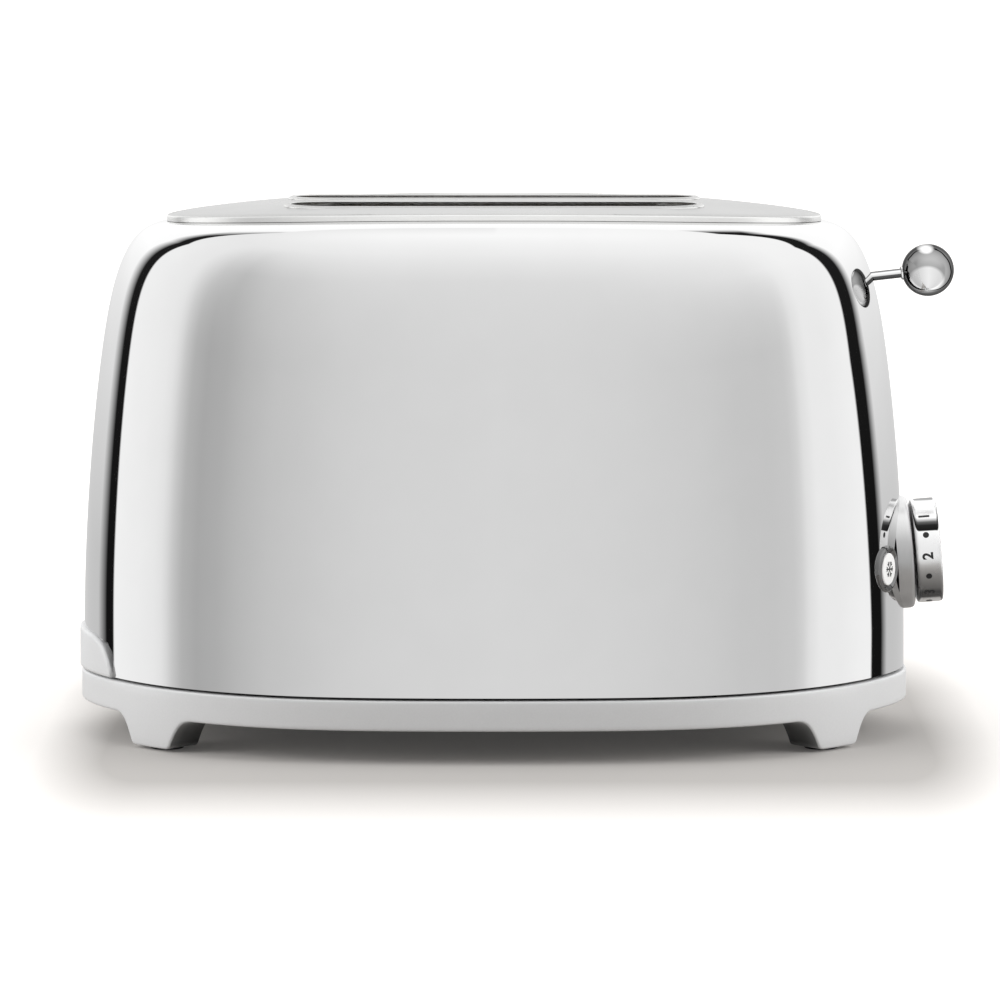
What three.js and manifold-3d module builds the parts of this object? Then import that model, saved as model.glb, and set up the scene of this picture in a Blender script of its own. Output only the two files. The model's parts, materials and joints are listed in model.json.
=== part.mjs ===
// A two-slice toaster with a polished steel shell, as an assembly of separate pieces.
// Millimetres, +Z up. The lever and the dial are at the +X end, the front face looks along -Y.
import * as THREE from "three";
import { mergeVertices } from "three/addons/utils/BufferGeometryUtils.js";
import Module from "manifold-3d";

const wasm = await Module();
wasm.setup();

// Fits
const gap = 0.3; // between pieces that touch
const overrun = 3; // by which a cutter passes the faces that it cuts

// Body plan and side, as shares of the half sizes and of the rise. Each list holds the control points of
// a smooth curve: the plan from the end round to the front, the side from its foot up to the crown.
const planShares = [
  [1.016, 0],
  [0.968, 0.31],
  [0.794, 0.7],
  [0.503, 0.964],
  [0.168, 1.002],
];
const endReachShares = [1, 1, 0.982, 0.953, 0.927, 0.875, 0.794, 0.732];
const frontReachShares = [1, 1, 0.977, 0.94, 0.892, 0.8, 0.686, 0.588];
const heightShares = [0, 0.208, 0.481, 0.7235, 0.887, 0.982, 1, 0.998];
const sideStations = [0, 1, 2, 3, 4, 4.5, 5, 5.5, 6, 7];
const hiddenStations = [0, 2, 4, 5, 6, 7];
const planSteps = 3; // points to each control point of the plan
const tangentShare = 0.02; // of a control point's span, for directions along the plan

// Bread slots: all else in the plan is built outwards from them
const slotHalfLength = 76;
const slotHalfWidth = 17;
const slotBridge = 17; // of the top plate between the two slots
const slotOffset = slotBridge / 2 + slotHalfWidth;

// Layout along X, from the middle to the right end
const sheet = 1.2;
const slotEndMargin = 16; // from a slot's end to the middle of the end plate
const endPlateX = slotHalfLength + slotEndMargin;
const crossbarClearance = 5; // from the end plate's middle
const crossbarX = endPlateX + crossbarClearance;
const rodClearance = 14; // from the crossbar's inner face to the rod's middle
const rodX = crossbarX + rodClearance;
const boardClearance = 16.5; // from the rod's middle to the inner face of the control board
const boardX = rodX + boardClearance;
const controlDepth = 26.8; // from that face to the shell's end
const shellHalfLength = boardX + controlDepth;

// Layout along Y, from the middle to the front
const heaterClearance = 8; // from a slot's side to the middle of the outer heater board
const boardOffset = slotOffset + slotHalfWidth + heaterClearance;
const reflectorClearance = 6.5;
const reflectorOffset = boardOffset + reflectorClearance;
const chassisMargin = 5; // of the end plates past the reflectors
const chassisHalfDepth = reflectorOffset + chassisMargin;
const bodyMargin = 35; // of the shell past the end plates
const shellHalfDepth = chassisHalfDepth + bodyMargin;

// Shell
const shellRise = 164.4;
const shellWall = 1.4;
const crownArch = 4.2; // by which the crown's middle stands above its two ends
const crownLip = 3; // of the opening inside the last ring of the shell

// Base and feet
const ringProud = 0.6; // by which the ring stands out past the shell
const ringHalfLength = shellHalfLength + ringProud;
const ringHalfDepth = shellHalfDepth + ringProud;
const ringBottom = 13.2;
const ringHeight = 11.8;
const ringTop = ringBottom + ringHeight;
const ringWall = 4.5;
const ringEdge = 0.7; // rounding of the band's edges
const floorRise = 2; // of the moulded floor's underside above the ring's
const floorUnder = ringBottom + floorRise;
const floorThickness = 2.4;
const floorTop = floorUnder + floorThickness;
const ribRise = 4; // rib that centres the shell, above the ring
const grooveHeight = 1; // shadow line between ring and shell
const footPlace = 1.8; // along the plan's control points
const footHalfWidth = 10.5;
const footFlare = 11;
const footDepth = 17;
const footCorner = 2.4;
const flareRiseShare = 0.72; // of the ring's height, where the flare turns
const padRise = 1; // of the rubber pad under the foot
const padRadius = 6.4;
const padRecess = 2;

// Heights of the shell and of the plate on it
const shellBottom = ringTop + grooveHeight;
const shellTop = shellBottom + shellRise;

// Top plate
const plateEndInset = 30.5; // of the plate's rim from the shell's half length
const plateSideInset = 31;
const plateHalfLength = shellHalfLength - plateEndInset;
const plateHalfDepth = shellHalfDepth - plateSideInset;
const plateThickness = 2.2;
const plateRounding = 0.7;
const plateDome = 0.3;
const plateRingShares = [0.3, 0.66];
const plateBottom = shellTop + gap;
const plateTop = plateBottom + plateThickness;
const slotLipWidth = 2.2;
const slotLipRise = 1;
const collarWall = 0.9;
const collarHeight = 10;
const collarMargin = 0.8;
const collarGap = 0.6; // under the plate, whose underside is faceted

// Bottom plate
const hatchEndMargin = 8; // from the hatch in the moulded floor to the end plates
const hatchSideMargin = 33;
const hatchHalfLength = endPlateX - hatchEndMargin;
const hatchHalfDepth = chassisHalfDepth - hatchSideMargin;
const hatchCorner = 6;
const hatchLap = 6;
const bottomPlateThickness = 1;
const bottomPlateTop = floorUnder - gap;
const bottomPlateUnder = bottomPlateTop - bottomPlateThickness;
const ventMargin = 7; // from a vent's end to the hatch's side
const ventLength = 2 * (hatchHalfDepth - ventMargin);
const ventWidth = 3;
const ventPitch = 13;
const ventCount = 7;
const screwHeadRadius = 2.8;
const screwHeadHeight = 1.6;
const screwCrownShare = 0.8;
const screwShankRadius = 1.5;
const screwLength = 7;
const glandInset = 14; // from the hatch's left end
const glandX = glandInset - hatchHalfLength;
const glandRadius = 5.5;
const glandBore = 3.6;
const glandFlange = 7.4;
const glandFlangeHeight = 1.4;

// Crumb tray
const trayLap = 5; // of the tray past the hatch's side
const trayHalfWidth = hatchHalfDepth + trayLap;
const trayRise = 1.4; // above the shell's foot
const trayBottom = shellBottom + trayRise;
const trayHeight = 6.4;
const trayWall = 0.9;
const trayInset = 14.7; // from the shell's left end
const trayFront = trayInset - shellHalfLength;
const trayBack = hatchHalfLength;
const runnerThickness = 2;
const runnerReachShare = 0.9; // of the ring's half length
const handleLap = 7.5; // of the handle past the tray
const handleHalfWidth = trayHalfWidth + handleLap;
const handleShoulderInset = 4.5;
const handleShoulderHalfWidth = handleHalfWidth - handleShoulderInset;
const handleRise = 13.6; // above the shell's foot
const handleTop = shellBottom + handleRise;
const handleShoulderDrop = 6;
const handleShoulder = handleTop - handleShoulderDrop;
const handleCrown = 1.6;
const handleCornerReach = 7;
const handleProud = 1.1;
const handleThickness = 3.6;
const handleSpanShare = 0.8; // of the shell's half length, inside which no handle reaches
const handlePadInset = 6; // of the handle's bar from the tray's side
const handlePadHalfWidth = trayHalfWidth - handlePadInset;

// Chassis
const endPlateInner = endPlateX - sheet / 2;
const endPlateOuter = endPlateX + sheet / 2;
const chassisClearance = 9.7; // under the top plate
const chassisTop = plateBottom - chassisClearance;
const trayClearance = 7.2; // over the tray
const legTop = trayBottom + trayHeight + trayClearance;
const legWidth = 12;
const legFlange = 11;
const chamberFloorTop = legTop + sheet;
const crumbGapMargin = 12; // from the end plates
const crumbGapHalfLength = endPlateX - crumbGapMargin;
const crumbGapInner = 10;
const crumbGapOuter = trayHalfWidth;
const crumbBridge = 5;
const crumbGapCount = 5;

// Heaters
const boardThickness = 1;
const boardFoot = 7.8; // over the chamber's floor
const boardBottom = chamberFloorTop + boardFoot;
const boardDrop = 7; // under the end plates' top
const boardTop = chassisTop - boardDrop;
const boardNotch = 5;
const windingRuns = 14;
const windingWidth = 1.6;
const windingThickness = 0.4;
const windingMargin = 8;
const reflectorThickness = 0.8;
const reflectorRib = 2.4;
const reflectorRibShares = [0.33, 0.67];
const reflectorRibReachShare = 0.9;

// Bread guides
const guideMargin = 0.5; // from the slot's side, with the bread up
const guideOpen = slotHalfWidth - guideMargin;
const guideClose = 6; // by which each guide moves in as the bread goes down
const guideThickness = 1.6;
const guideEndMargin = 6; // from the end plates
const guideHalfLength = endPlateX - guideEndMargin;
const guideFoot = 6; // over the heater boards' lower edge
const guideBottom = boardBottom + guideFoot;
const guideDrop = 13; // under the end plates' top
const guideTop = chassisTop - guideDrop;
const guideBar = 4;
const guideWire = 1.8;
const guideGaps = 11; // between the upright wires
const guideTab = 3;

// Lever
const leverTilt = THREE.MathUtils.degToRad(6.5);
const knobReach = 8.6; // of its centre past the shell's end
const knobX = shellHalfLength + knobReach;
const knobDrop = 17.7; // of its centre under the shell's top
const knobZ = shellTop - knobDrop;
const knobRadius = 9.8;
const knobCollarRadius = 2.5;
const knobCollarLength = 1.2;
const knobBoreDepth = 7;
const armRadius = 1.75;
const armSeat = 4;

// Carriage, its rod and its spring
const rodRadius = 3;
const rodDrop = 6.7; // under the top plate
const rodTop = plateBottom - rodDrop;
const bracketThickness = 2;
const bracketHalfWidth = 10;
const bracketFlange = 9;
const sliderHalfWidth = 9;
const sliderReach = 7.5; // past the rod's middle
const sliderDrop = 0.7; // under the knob's centre
const sliderTop = knobZ - sliderDrop;
const sliderLength = 60;
const sliderBottom = sliderTop - sliderLength;
const sliderHead = 14.7; // full width above the waist, round the arm's socket
const crossbarThickness = 3;
const crossbarEnd = crossbarX + crossbarThickness;
const crossbarStep = 2; // of the crossbar over the slider's foot, and of the lifts over the crossbar's
const crossbarBottom = sliderBottom + crossbarStep;
const crossbarHeight = 13;
const crossbarTop = crossbarBottom + crossbarHeight;
const liftBottom = crossbarBottom + crossbarStep;
const liftHeight = 8;
const liftThickness = 1.6;
const liftEndMargin = 8; // from the end plates
const liftHalfLength = endPlateX - liftEndMargin;
const liftTabHalfWidth = 6;
const liftTabLength = 5;
const liftTabInset = 7.5;
const liftTabCount = 7;
const liftSlotSide = 1.2;
const liftClearance = 1.8; // over the chamber's floor, with the bread down
const travel = liftBottom - chamberFloorTop - liftClearance;
const springWire = 0.7;
const springRadius = 5.4;
const springTurns = 10;
const springSteps = 8;
const springSides = 5;
const armatureLength = 20;
const armatureHalfWidth = 9;
const armatureThickness = 2;
const magnetClearance = 6; // between the armature and the slider
const magnetY = -(sliderHalfWidth + magnetClearance + armatureHalfWidth);
const magnetPoleRadius = 4;
const magnetFlangeRadius = 9;
const magnetFlangeHeight = 2;
const coilRadius = 9.5;
const coilHeight = 22;

// The lever's slot in the shell
const leverSlotHalfWidth = 2.6;
const leverSlotRise = 5.3; // over the knob's centre
const leverSlotSag = 8.2; // under the knob's centre, with the bread down
const leverSlotTop = knobZ + leverSlotRise;
const leverSlotBottom = knobZ - travel - leverSlotSag;

// Dial, its bezel and the control board
const dialRise = 40.4; // above the shell's foot
const dialZ = shellBottom + dialRise;
const dialTilt = THREE.MathUtils.degToRad(4.8);
const bezelRadius = 21.2;
const bezelReach = 4.6;
const bezelBore = 13;
const bezelNeckRadius = 12;
const bezelNeckWall = 2.5;
const bezelNeckLength = 3;
const bezelRounding = 0.8;
const dialRadius = 19.2;
const dialLength = 10;
const dialRounding = 1.8;
const dialDish = 1.2;
const dialSoftShare = 0.3; // of the rounding, at its middle
const dialRimShare = 0.8; // of the radius, where the flat rim ends
const dialFloorShare = 0.74;
const dialBore = 5;
const dialSeam = 0.7;
const shaftRadius = 3;
const shaftLength = 18;
const circuitThickness = 1.6;
const circuitRise = 21.6; // over the dial's centre
const circuitTop = dialZ + circuitRise;
const circuitCorner = 4;
const potRadius = 8.5;
const potCollarRadius = 5;
const potCollarLength = 3;

// Buttons
const buttonRingRadius = 8.7;
const buttonRingReach = 0.9;
const buttonSpacing = 1.1; // between a button's ring and the bezel
const buttonY = bezelRadius + buttonSpacing + buttonRingRadius;
const buttonDrop = 2.9; // under the dial's centre
const buttonZ = dialZ - buttonDrop;
const buttonRadius = 6.05;
const buttonReach = 1.9;
const buttonSkirt = 3;
const buttonRounding = 0.7;
const buttonStemRadius = 2.2;
const buttonStemLength = 5;
const buttonNeck = 3.4;
const buttonTravel = 1.5;
const switchLength = 5;
const switchHalfWidth = 5;
const circuitMargin = 8; // of the board past the buttons' switches
const circuitHalfWidth = buttonY + switchHalfWidth + circuitMargin;

// Terminal block
const terminalInset = 14; // from the hatch's right end
const terminalX = hatchHalfLength - terminalInset;
const terminalClearance = 19; // from the hatch's side to the block's middle
const terminalY = -(hatchHalfDepth + terminalClearance);
const terminalLength = 24;
const terminalDepth = 12;
const terminalHeight = 10;
const terminalCount = 3;
const terminalWellRadius = 2.4;
const terminalWellDepth = 6;

// Materials
function finish(color, metalness, roughness) {
  return new THREE.MeshStandardMaterial({ color, metalness, roughness });
}
const polished = finish("#e6e6e6", 1, 0.05);
const satin = finish("#c9c9c7", 1, 0.35);
const silver = finish("#cfd0d1", 0.3, 0.45);
const rubber = finish("#1b1b1c", 0, 0.8);
const zinc = finish("#a9abac", 1, 0.4);
const mica = finish("#b9aa8c", 0, 0.6);
const wire = finish("#8b8178", 1, 0.4);
const black = finish("#141416", 0, 0.5);
const white = finish("#f0f0ee", 0, 0.4);
const circuit = finish("#2f6b45", 0, 0.5);
const copper = finish("#b5693c", 1, 0.35);

// A closed mesh as a solid that can be joined and cut.
function solid(geometry) {
  const bare = geometry.clone();
  bare.deleteAttribute("normal");
  bare.deleteAttribute("uv");
  const merged = mergeVertices(bare);
  const corners = merged.index.array;
  const faces = [];
  for (let i = 0; i < corners.length; i += 3) {
    const [a, b, c] = corners.slice(i, i + 3);
    if (a !== b && b !== c && c !== a) faces.push(a, b, c);
  }
  return new wasm.Manifold(
    new wasm.Mesh({
      numProp: 3,
      vertProperties: new Float32Array(merged.attributes.position.array),
      triVerts: new Uint32Array(faces),
    }),
  );
}

function toGeometry(body) {
  const made = body.getMesh();
  const geometry = new THREE.BufferGeometry();
  geometry.setAttribute("position", new THREE.BufferAttribute(made.vertProperties, made.numProp));
  geometry.setIndex(new THREE.BufferAttribute(made.triVerts, 1));
  geometry.computeVertexNormals();
  return geometry;
}

function joined(bodies) {
  return bodies.reduce((sum, body) => sum.add(body));
}

function cut(body, cutters) {
  return cutters.reduce((rest, cutter) => rest.subtract(cutter), body);
}

// Smooth curves: a uniform cubic B-spline through lists of control values.
function blend(a, b, c, d, t) {
  const s = 1 - t;
  const near = 3 * t ** 3 - 6 * t ** 2 + 4;
  const far = 3 * s ** 3 - 6 * s ** 2 + 4;
  return (s ** 3 * a + near * b + far * c + t ** 3 * d) / 6;
}

function openCurve(values, u) {
  const last = values.length - 1;
  const i = Math.min(Math.floor(u), last - 1);
  const before = i > 0 ? values[i - 1] : 2 * values[0] - values[1];
  const after = i + 2 <= last ? values[i + 2] : 2 * values[last] - values[last - 1];
  return blend(before, values[i], values[i + 1], after, u - i);
}

// The whole plan's control points: each quadrant mirrors the one before.
const end = planShares[0];
const quadrant = planShares.slice(1);
const mirrored = quadrant.map(([x, y]) => [-x, y]).reverse();
const rearHalf = [end, ...quadrant, ...mirrored];
const planControls = [...rearHalf, ...rearHalf.map(([x, y]) => [-x, -y])];

function planAt(t) {
  const n = planControls.length;
  const i = Math.floor(t);
  const [a, b, c, d] = [i - 1, i, i + 1, i + 2].map((k) => planControls[(k + n) % n]);
  return [0, 1].map((axis) => blend(a[axis], b[axis], c[axis], d[axis], t - i));
}

const plan = Array.from({ length: planControls.length * planSteps }, (_, i) => planAt(i / planSteps));

function sideAt(u) {
  return [endReachShares, frontReachShares, heightShares].map((shares) => openCurve(shares, u));
}

// Finds where a rising or falling function passes a value.
function search(low, high, isBelow) {
  for (let i = 0; i < 40; i++) {
    const middle = (low + high) / 2;
    if (isBelow(middle)) low = middle;
    else high = middle;
  }
  return low;
}

// A point of the shell's right end at a height and a distance from the middle, with its outward direction.
function shellEndPoint(z, y) {
  const u = search(0, sideStations.length / 2, (at) => sideAt(at)[2] * shellRise < z - shellBottom);
  const [endReach, frontReach] = sideAt(u);
  const halfLength = endReach * shellHalfLength;
  const halfDepth = frontReach * shellHalfDepth;
  const t = search(0, planShares.length - 1, (at) => planAt(at)[1] * halfDepth < Math.abs(y));
  const [x0, y0] = planAt(t);
  const [x1, y1] = planAt(t + tangentShare);
  const along = new THREE.Vector2((x1 - x0) * halfLength, (y1 - y0) * halfDepth).normalize();
  const side = y < 0 ? -1 : 1;
  const outward = new THREE.Vector3(along.y, -along.x * side, 0);
  return { point: new THREE.Vector3(x0 * halfLength, y, z), outward };
}

// Skin between rings of points, closed by a fan at each end. Rings run anticlockwise seen from their end.
function loft(rings) {
  const count = rings[0].length;
  const points = rings.flat();
  const faces = [];
  for (let i = 0; i + 1 < rings.length; i++)
    for (let j = 0; j < count; j++) {
      const [a, b] = [i * count + j, i * count + ((j + 1) % count)];
      faces.push(a, b, b + count, a, b + count, a + count);
    }
  [rings[0], rings.at(-1)].forEach((ring, isTop) => {
    const middle = ring.reduce((sum, p) => sum.add(p), new THREE.Vector3()).divideScalar(count);
    const centre = points.push(middle) - 1;
    const start = isTop ? (rings.length - 1) * count : 0;
    for (let j = 0; j < count; j++) {
      const [a, b] = [start + j, start + ((j + 1) % count)];
      faces.push(centre, ...(isTop ? [a, b] : [b, a]));
    }
  });
  const geometry = new THREE.BufferGeometry().setFromPoints(points);
  geometry.setIndex(faces);
  return geometry;
}

function planRing(halfLength, halfDepth, z) {
  return plan.map(([x, y]) => new THREE.Vector3(x * halfLength, y * halfDepth, z));
}

// A prism on the body's plan; each level is [inset, height].
function planSolid(halfLength, halfDepth, levels) {
  return solid(loft(levels.map(([inset, z]) => planRing(halfLength - inset, halfDepth - inset, z))));
}

function shellRing(u, inset) {
  const [endReach, frontReach, height] = sideAt(u);
  return plan.map(
    ([x, y]) =>
      new THREE.Vector3(
        x * (endReach * shellHalfLength - inset),
        y * (frontReach * shellHalfDepth - inset),
        shellBottom + height * (shellRise + crownArch * (1 - x * x) - inset),
      ),
  );
}

// The shell's form, moved in by an inset, and carried down past its foot by an overrun.
function shellForm(inset, below, stations = sideStations) {
  const rings = stations.map((u) => shellRing(u, inset));
  const foot = rings[0].map((p) => new THREE.Vector3(p.x, p.y, p.z - below));
  return solid(loft(below ? [foot, ...rings] : rings));
}

function archAt(x) {
  return crownArch * (1 - (x / plateHalfLength) ** 2);
}

function arched(geometry) {
  const place = geometry.attributes.position;
  for (let i = 0; i < place.count; i++) place.setZ(i, place.getZ(i) + archAt(place.getX(i)));
  return geometry;
}

// Plain forms
function block([x0, x1], [y0, y1], [z0, z1]) {
  const geometry = new THREE.BoxGeometry(x1 - x0, y1 - y0, z1 - z0);
  return solid(geometry.translate((x0 + x1) / 2, (y0 + y1) / 2, (z0 + z1) / 2));
}

function rod(radius, start, finishPoint, sides = 16) {
  const along = new THREE.Vector3().subVectors(finishPoint, start);
  const geometry = new THREE.CylinderGeometry(radius, radius, along.length(), sides);
  const turn = new THREE.Quaternion().setFromUnitVectors(
    new THREE.Vector3(0, 1, 0),
    along.clone().normalize(),
  );
  geometry.applyQuaternion(turn);
  const middle = new THREE.Vector3().addVectors(start, finishPoint).divideScalar(2);
  return solid(geometry.translate(middle.x, middle.y, middle.z));
}

function upright(radius, x, y, [z0, z1], sides = 16) {
  return rod(radius, new THREE.Vector3(x, y, z0), new THREE.Vector3(x, y, z1), sides);
}

// A turned piece about +Z, from [radius, height] points that run up the outside.
function turned(profile, sides, matrix = new THREE.Matrix4()) {
  const outline = profile.map(([r, z]) => new THREE.Vector2(r, z));
  const geometry = new THREE.LatheGeometry(outline, sides).rotateX(Math.PI / 2);
  return solid(geometry.applyMatrix4(matrix));
}

// A rounded rectangle, or a slot with round ends when its corner is its half width.
function roundedOutline(halfA, halfB, corner, midA = 0, midB = 0) {
  const shape = new THREE.Shape();
  const [a, b] = [halfA - corner, halfB - corner];
  shape.absarc(midA + a, midB + b, corner, 0, Math.PI / 2);
  shape.absarc(midA - a, midB + b, corner, Math.PI / 2, Math.PI);
  shape.absarc(midA - a, midB - b, corner, Math.PI, 1.5 * Math.PI);
  shape.absarc(midA + a, midB - b, corner, 1.5 * Math.PI, 2 * Math.PI);
  return shape;
}

// Extrudes an outline along an axis: its two coordinates are the other two axes in the order X, Y, Z.
function extruded(axis, outline, [from, to], curveSegments = 5) {
  const geometry = new THREE.ExtrudeGeometry(outline, {
    depth: to - from,
    bevelEnabled: false,
    curveSegments,
  });
  const turn = new THREE.Matrix4();
  if (axis === "x") turn.set(0, 0, 1, from, 1, 0, 0, 0, 0, 1, 0, 0, 0, 0, 0, 1);
  if (axis === "y") turn.set(1, 0, 0, 0, 0, 0, -1, to, 0, 1, 0, 0, 0, 0, 0, 1);
  if (axis === "z") turn.makeTranslation(0, 0, from);
  return solid(geometry.applyMatrix4(turn));
}

// The outline of a bread slot, with points along its straight sides so that it can follow the arch.
function slotOutline(grow, midY, steps = 6) {
  const radius = slotHalfWidth + grow;
  const straight = slotHalfLength - slotHalfWidth;
  const points = [];
  for (const side of [1, -1]) {
    for (let i = 0; i <= steps; i++) {
      const angle = (-side * Math.PI) / 2 + (Math.PI * i) / steps;
      const x = side * straight + radius * Math.cos(angle);
      points.push(new THREE.Vector2(x, midY + radius * Math.sin(angle)));
    }
    for (let i = 1; i < steps; i++)
      points.push(new THREE.Vector2(side * straight * (1 - (2 * i) / steps), midY + side * radius));
  }
  return new THREE.Shape(points);
}

// Assembly: groups follow what moves together, and each mesh is one physical piece.
const toaster = new THREE.Group();
function movingGroup(parent = toaster) {
  const group = new THREE.Group();
  parent.add(group);
  return group;
}
const fixed = movingGroup();
const carriage = movingGroup();
const tray = movingGroup();

function piece(group, name, body, material) {
  const mesh = new THREE.Mesh(toGeometry(body), material);
  mesh.name = name;
  group.add(mesh);
}

// A group whose +Z looks along a direction, for the pieces that are turned about one axis.
function facing(point, direction) {
  const group = movingGroup();
  group.position.copy(point);
  group.quaternion.setFromUnitVectors(new THREE.Vector3(0, 0, 1), direction);
  group.updateMatrix();
  return group;
}

function inFrameOf(group, body) {
  return solid(toGeometry(body).applyMatrix4(group.matrix.clone().invert()));
}

const quarters = [
  ["front_left", -1, -1],
  ["front_right", 1, -1],
  ["rear_left", -1, 1],
  ["rear_right", 1, 1],
];

// Feet stand square to the plan's outline, flush with the ring.
function footFrame(sideX, sideY) {
  const [x, y] = planAt(footPlace);
  const [nextX, nextY] = planAt(footPlace + tangentShare);
  const along = new THREE.Vector3((nextX - x) * ringHalfLength, (nextY - y) * ringHalfDepth, 0);
  along.normalize();
  const outward = new THREE.Vector3(along.y * sideX, -along.x * sideY, 0);
  const point = new THREE.Vector3(x * ringHalfLength * sideX, y * ringHalfDepth * sideY, 0);
  return { point, outward };
}

function footMatrix(sideX, sideY) {
  const { point, outward } = footFrame(sideX, sideY);
  const up = new THREE.Vector3(0, 0, 1);
  const across = new THREE.Vector3().crossVectors(up, outward);
  return new THREE.Matrix4().makeBasis(across, up, outward).setPosition(point);
}

function padCentre(sideX, sideY) {
  const { point, outward } = footFrame(sideX, sideY);
  return point.addScaledVector(outward, -footDepth / 2);
}

// The foot's front view: straight shank with rounded toes, flaring into the ring's lower edge.
function footSolid(sideX, sideY) {
  const top = floorUnder + floorThickness / 2;
  const wide = footHalfWidth + footFlare;
  const outline = new THREE.Shape();
  outline.moveTo(-footHalfWidth + footCorner, padRise);
  outline.lineTo(footHalfWidth - footCorner, padRise);
  outline.quadraticCurveTo(footHalfWidth, padRise, footHalfWidth + footCorner / 3, padRise + footCorner);
  outline.bezierCurveTo(
    footHalfWidth + footFlare / 3,
    ringBottom * flareRiseShare,
    footHalfWidth + footFlare / 2,
    ringBottom,
    wide,
    ringBottom,
  );
  outline.lineTo(wide, top);
  outline.lineTo(-wide, top);
  outline.lineTo(-wide, ringBottom);
  outline.bezierCurveTo(
    -footHalfWidth - footFlare / 2,
    ringBottom,
    -footHalfWidth - footFlare / 3,
    ringBottom * flareRiseShare,
    -footHalfWidth - footCorner / 3,
    padRise + footCorner,
  );
  outline.quadraticCurveTo(-footHalfWidth, padRise, -footHalfWidth + footCorner, padRise);
  const geometry = new THREE.ExtrudeGeometry(outline, {
    depth: footDepth + footFlare,
    bevelEnabled: false,
    curveSegments: 5,
  });
  geometry.translate(0, 0, -footDepth);
  return solid(geometry.applyMatrix4(footMatrix(sideX, sideY)));
}

function padSolid(sideX, sideY, radius, [z0, z1]) {
  const { x, y } = padCentre(sideX, sideY);
  return upright(radius, x, y, [z0, z1], 14);
}

const screwPlaces = quarters.map(([name, sideX, sideY]) => [
  name,
  sideX * (hatchHalfLength + hatchLap / 2),
  sideY * (hatchHalfDepth + hatchLap / 2),
]);

// Base: a moulded pan with a band round it, four feet, runners for the tray and a hatch underneath.
function baseRing() {
  const band = planSolid(ringHalfLength, ringHalfDepth, [
    [ringEdge, ringBottom],
    [0, ringBottom + ringEdge],
    [0, ringTop - ringEdge],
    [ringEdge, ringTop],
  ]);
  const ribInset = ringProud + shellWall + gap;
  const rib = planSolid(ringHalfLength, ringHalfDepth, [
    [ribInset, floorTop],
    [ribInset, ringTop + ribRise],
  ]);
  const hollow = planSolid(ringHalfLength, ringHalfDepth, [
    [ringWall, floorTop],
    [ringWall, ringTop + ribRise + overrun],
  ]);
  const under = planSolid(ringHalfLength, ringHalfDepth, [
    [ringWall, ringBottom - overrun],
    [ringWall, floorUnder],
  ]);
  const outside = planSolid(ringHalfLength, ringHalfDepth, [
    [ringEdge, 0],
    [ringEdge, ringTop],
  ]);
  const feet = quarters.map(([, sideX, sideY]) => footSolid(sideX, sideY).intersect(outside));
  const runners = [-1, 1].map((side) => {
    const y = [side * trayHalfWidth, side * (trayHalfWidth - runnerThickness)].sort((a, b) => a - b);
    return block([-ringHalfLength * runnerReachShare, trayBack], y, [floorTop - floorThickness / 2, trayBottom - gap]);
  });
  const hatch = extruded("z", roundedOutline(hatchHalfLength, hatchHalfDepth, hatchCorner), [
    floorUnder - overrun,
    floorTop + overrun / 4,
  ]);
  const passage = block(
    [-ringHalfLength - overrun, -ringHalfLength / 2],
    [-handleHalfWidth - gap, handleHalfWidth + gap],
    [ringTop, ringTop + ribRise + overrun],
  );
  const shankHoles = screwPlaces.map(([, x, y]) =>
    upright(screwShankRadius + gap, x, y, [floorUnder - overrun, floorTop + overrun], 12),
  );
  const recesses = quarters.map(([, sideX, sideY]) =>
    padSolid(sideX, sideY, padRadius + gap, [-overrun, padRise + padRecess]),
  );
  const pan = cut(band.add(rib), [hollow, under, hatch, passage]);
  return cut(joined([pan, ...feet, ...runners]), [...shankHoles, ...recesses]);
}

function footPads() {
  for (const [name, sideX, sideY] of quarters) {
    const pad = padSolid(sideX, sideY, padRadius, [0, padRise + padRecess - gap]);
    piece(fixed, `foot_pad_${name}`, pad, rubber);
  }
}

function bottomPlate() {
  const outline = roundedOutline(hatchHalfLength + hatchLap, hatchHalfDepth + hatchLap, hatchCorner + hatchLap);
  const plate = extruded("z", outline, [bottomPlateUnder, bottomPlateTop]);
  const cutHeight = [bottomPlateUnder - overrun, bottomPlateTop + overrun];
  const vents = Array.from({ length: ventCount }, (_, i) => {
    const x = (i - (ventCount - 1) / 2) * ventPitch;
    return block([x - ventWidth / 2, x + ventWidth / 2], [-ventLength / 2, ventLength / 2], cutHeight);
  });
  const holes = screwPlaces.map(([, x, y]) => upright(screwShankRadius + gap, x, y, cutHeight, 12));
  return cut(plate, [...vents, ...holes, upright(glandRadius + gap, glandX, 0, cutHeight, 20)]);
}

function screws() {
  const headTop = bottomPlateUnder - gap;
  const head = headTop - screwHeadHeight;
  for (const [name, x, y] of screwPlaces) {
    const profile = [
      [0, head],
      [screwHeadRadius * screwCrownShare, head],
      [screwHeadRadius, head + screwHeadHeight / 2],
      [screwHeadRadius, headTop],
      [screwShankRadius, headTop],
      [screwShankRadius, headTop + screwLength],
      [0, headTop + screwLength],
    ];
    const matrix = new THREE.Matrix4().makeTranslation(x, y, 0);
    piece(fixed, `base_screw_${name}`, turned(profile, 10, matrix), zinc);
  }
}

// Bushing that guards the edge of the cable hole in the bottom plate.
function cordGland() {
  const low = bottomPlateUnder - gap - glandFlangeHeight;
  const profile = [
    [glandBore, low],
    [glandFlange, low],
    [glandFlange, bottomPlateUnder - gap],
    [glandRadius, bottomPlateUnder - gap],
    [glandRadius, bottomPlateTop + glandFlangeHeight],
    [glandBore, bottomPlateTop + glandFlangeHeight],
    [glandBore, low],
  ];
  return turned(profile, 20, new THREE.Matrix4().makeTranslation(glandX, 0, 0));
}

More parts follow.
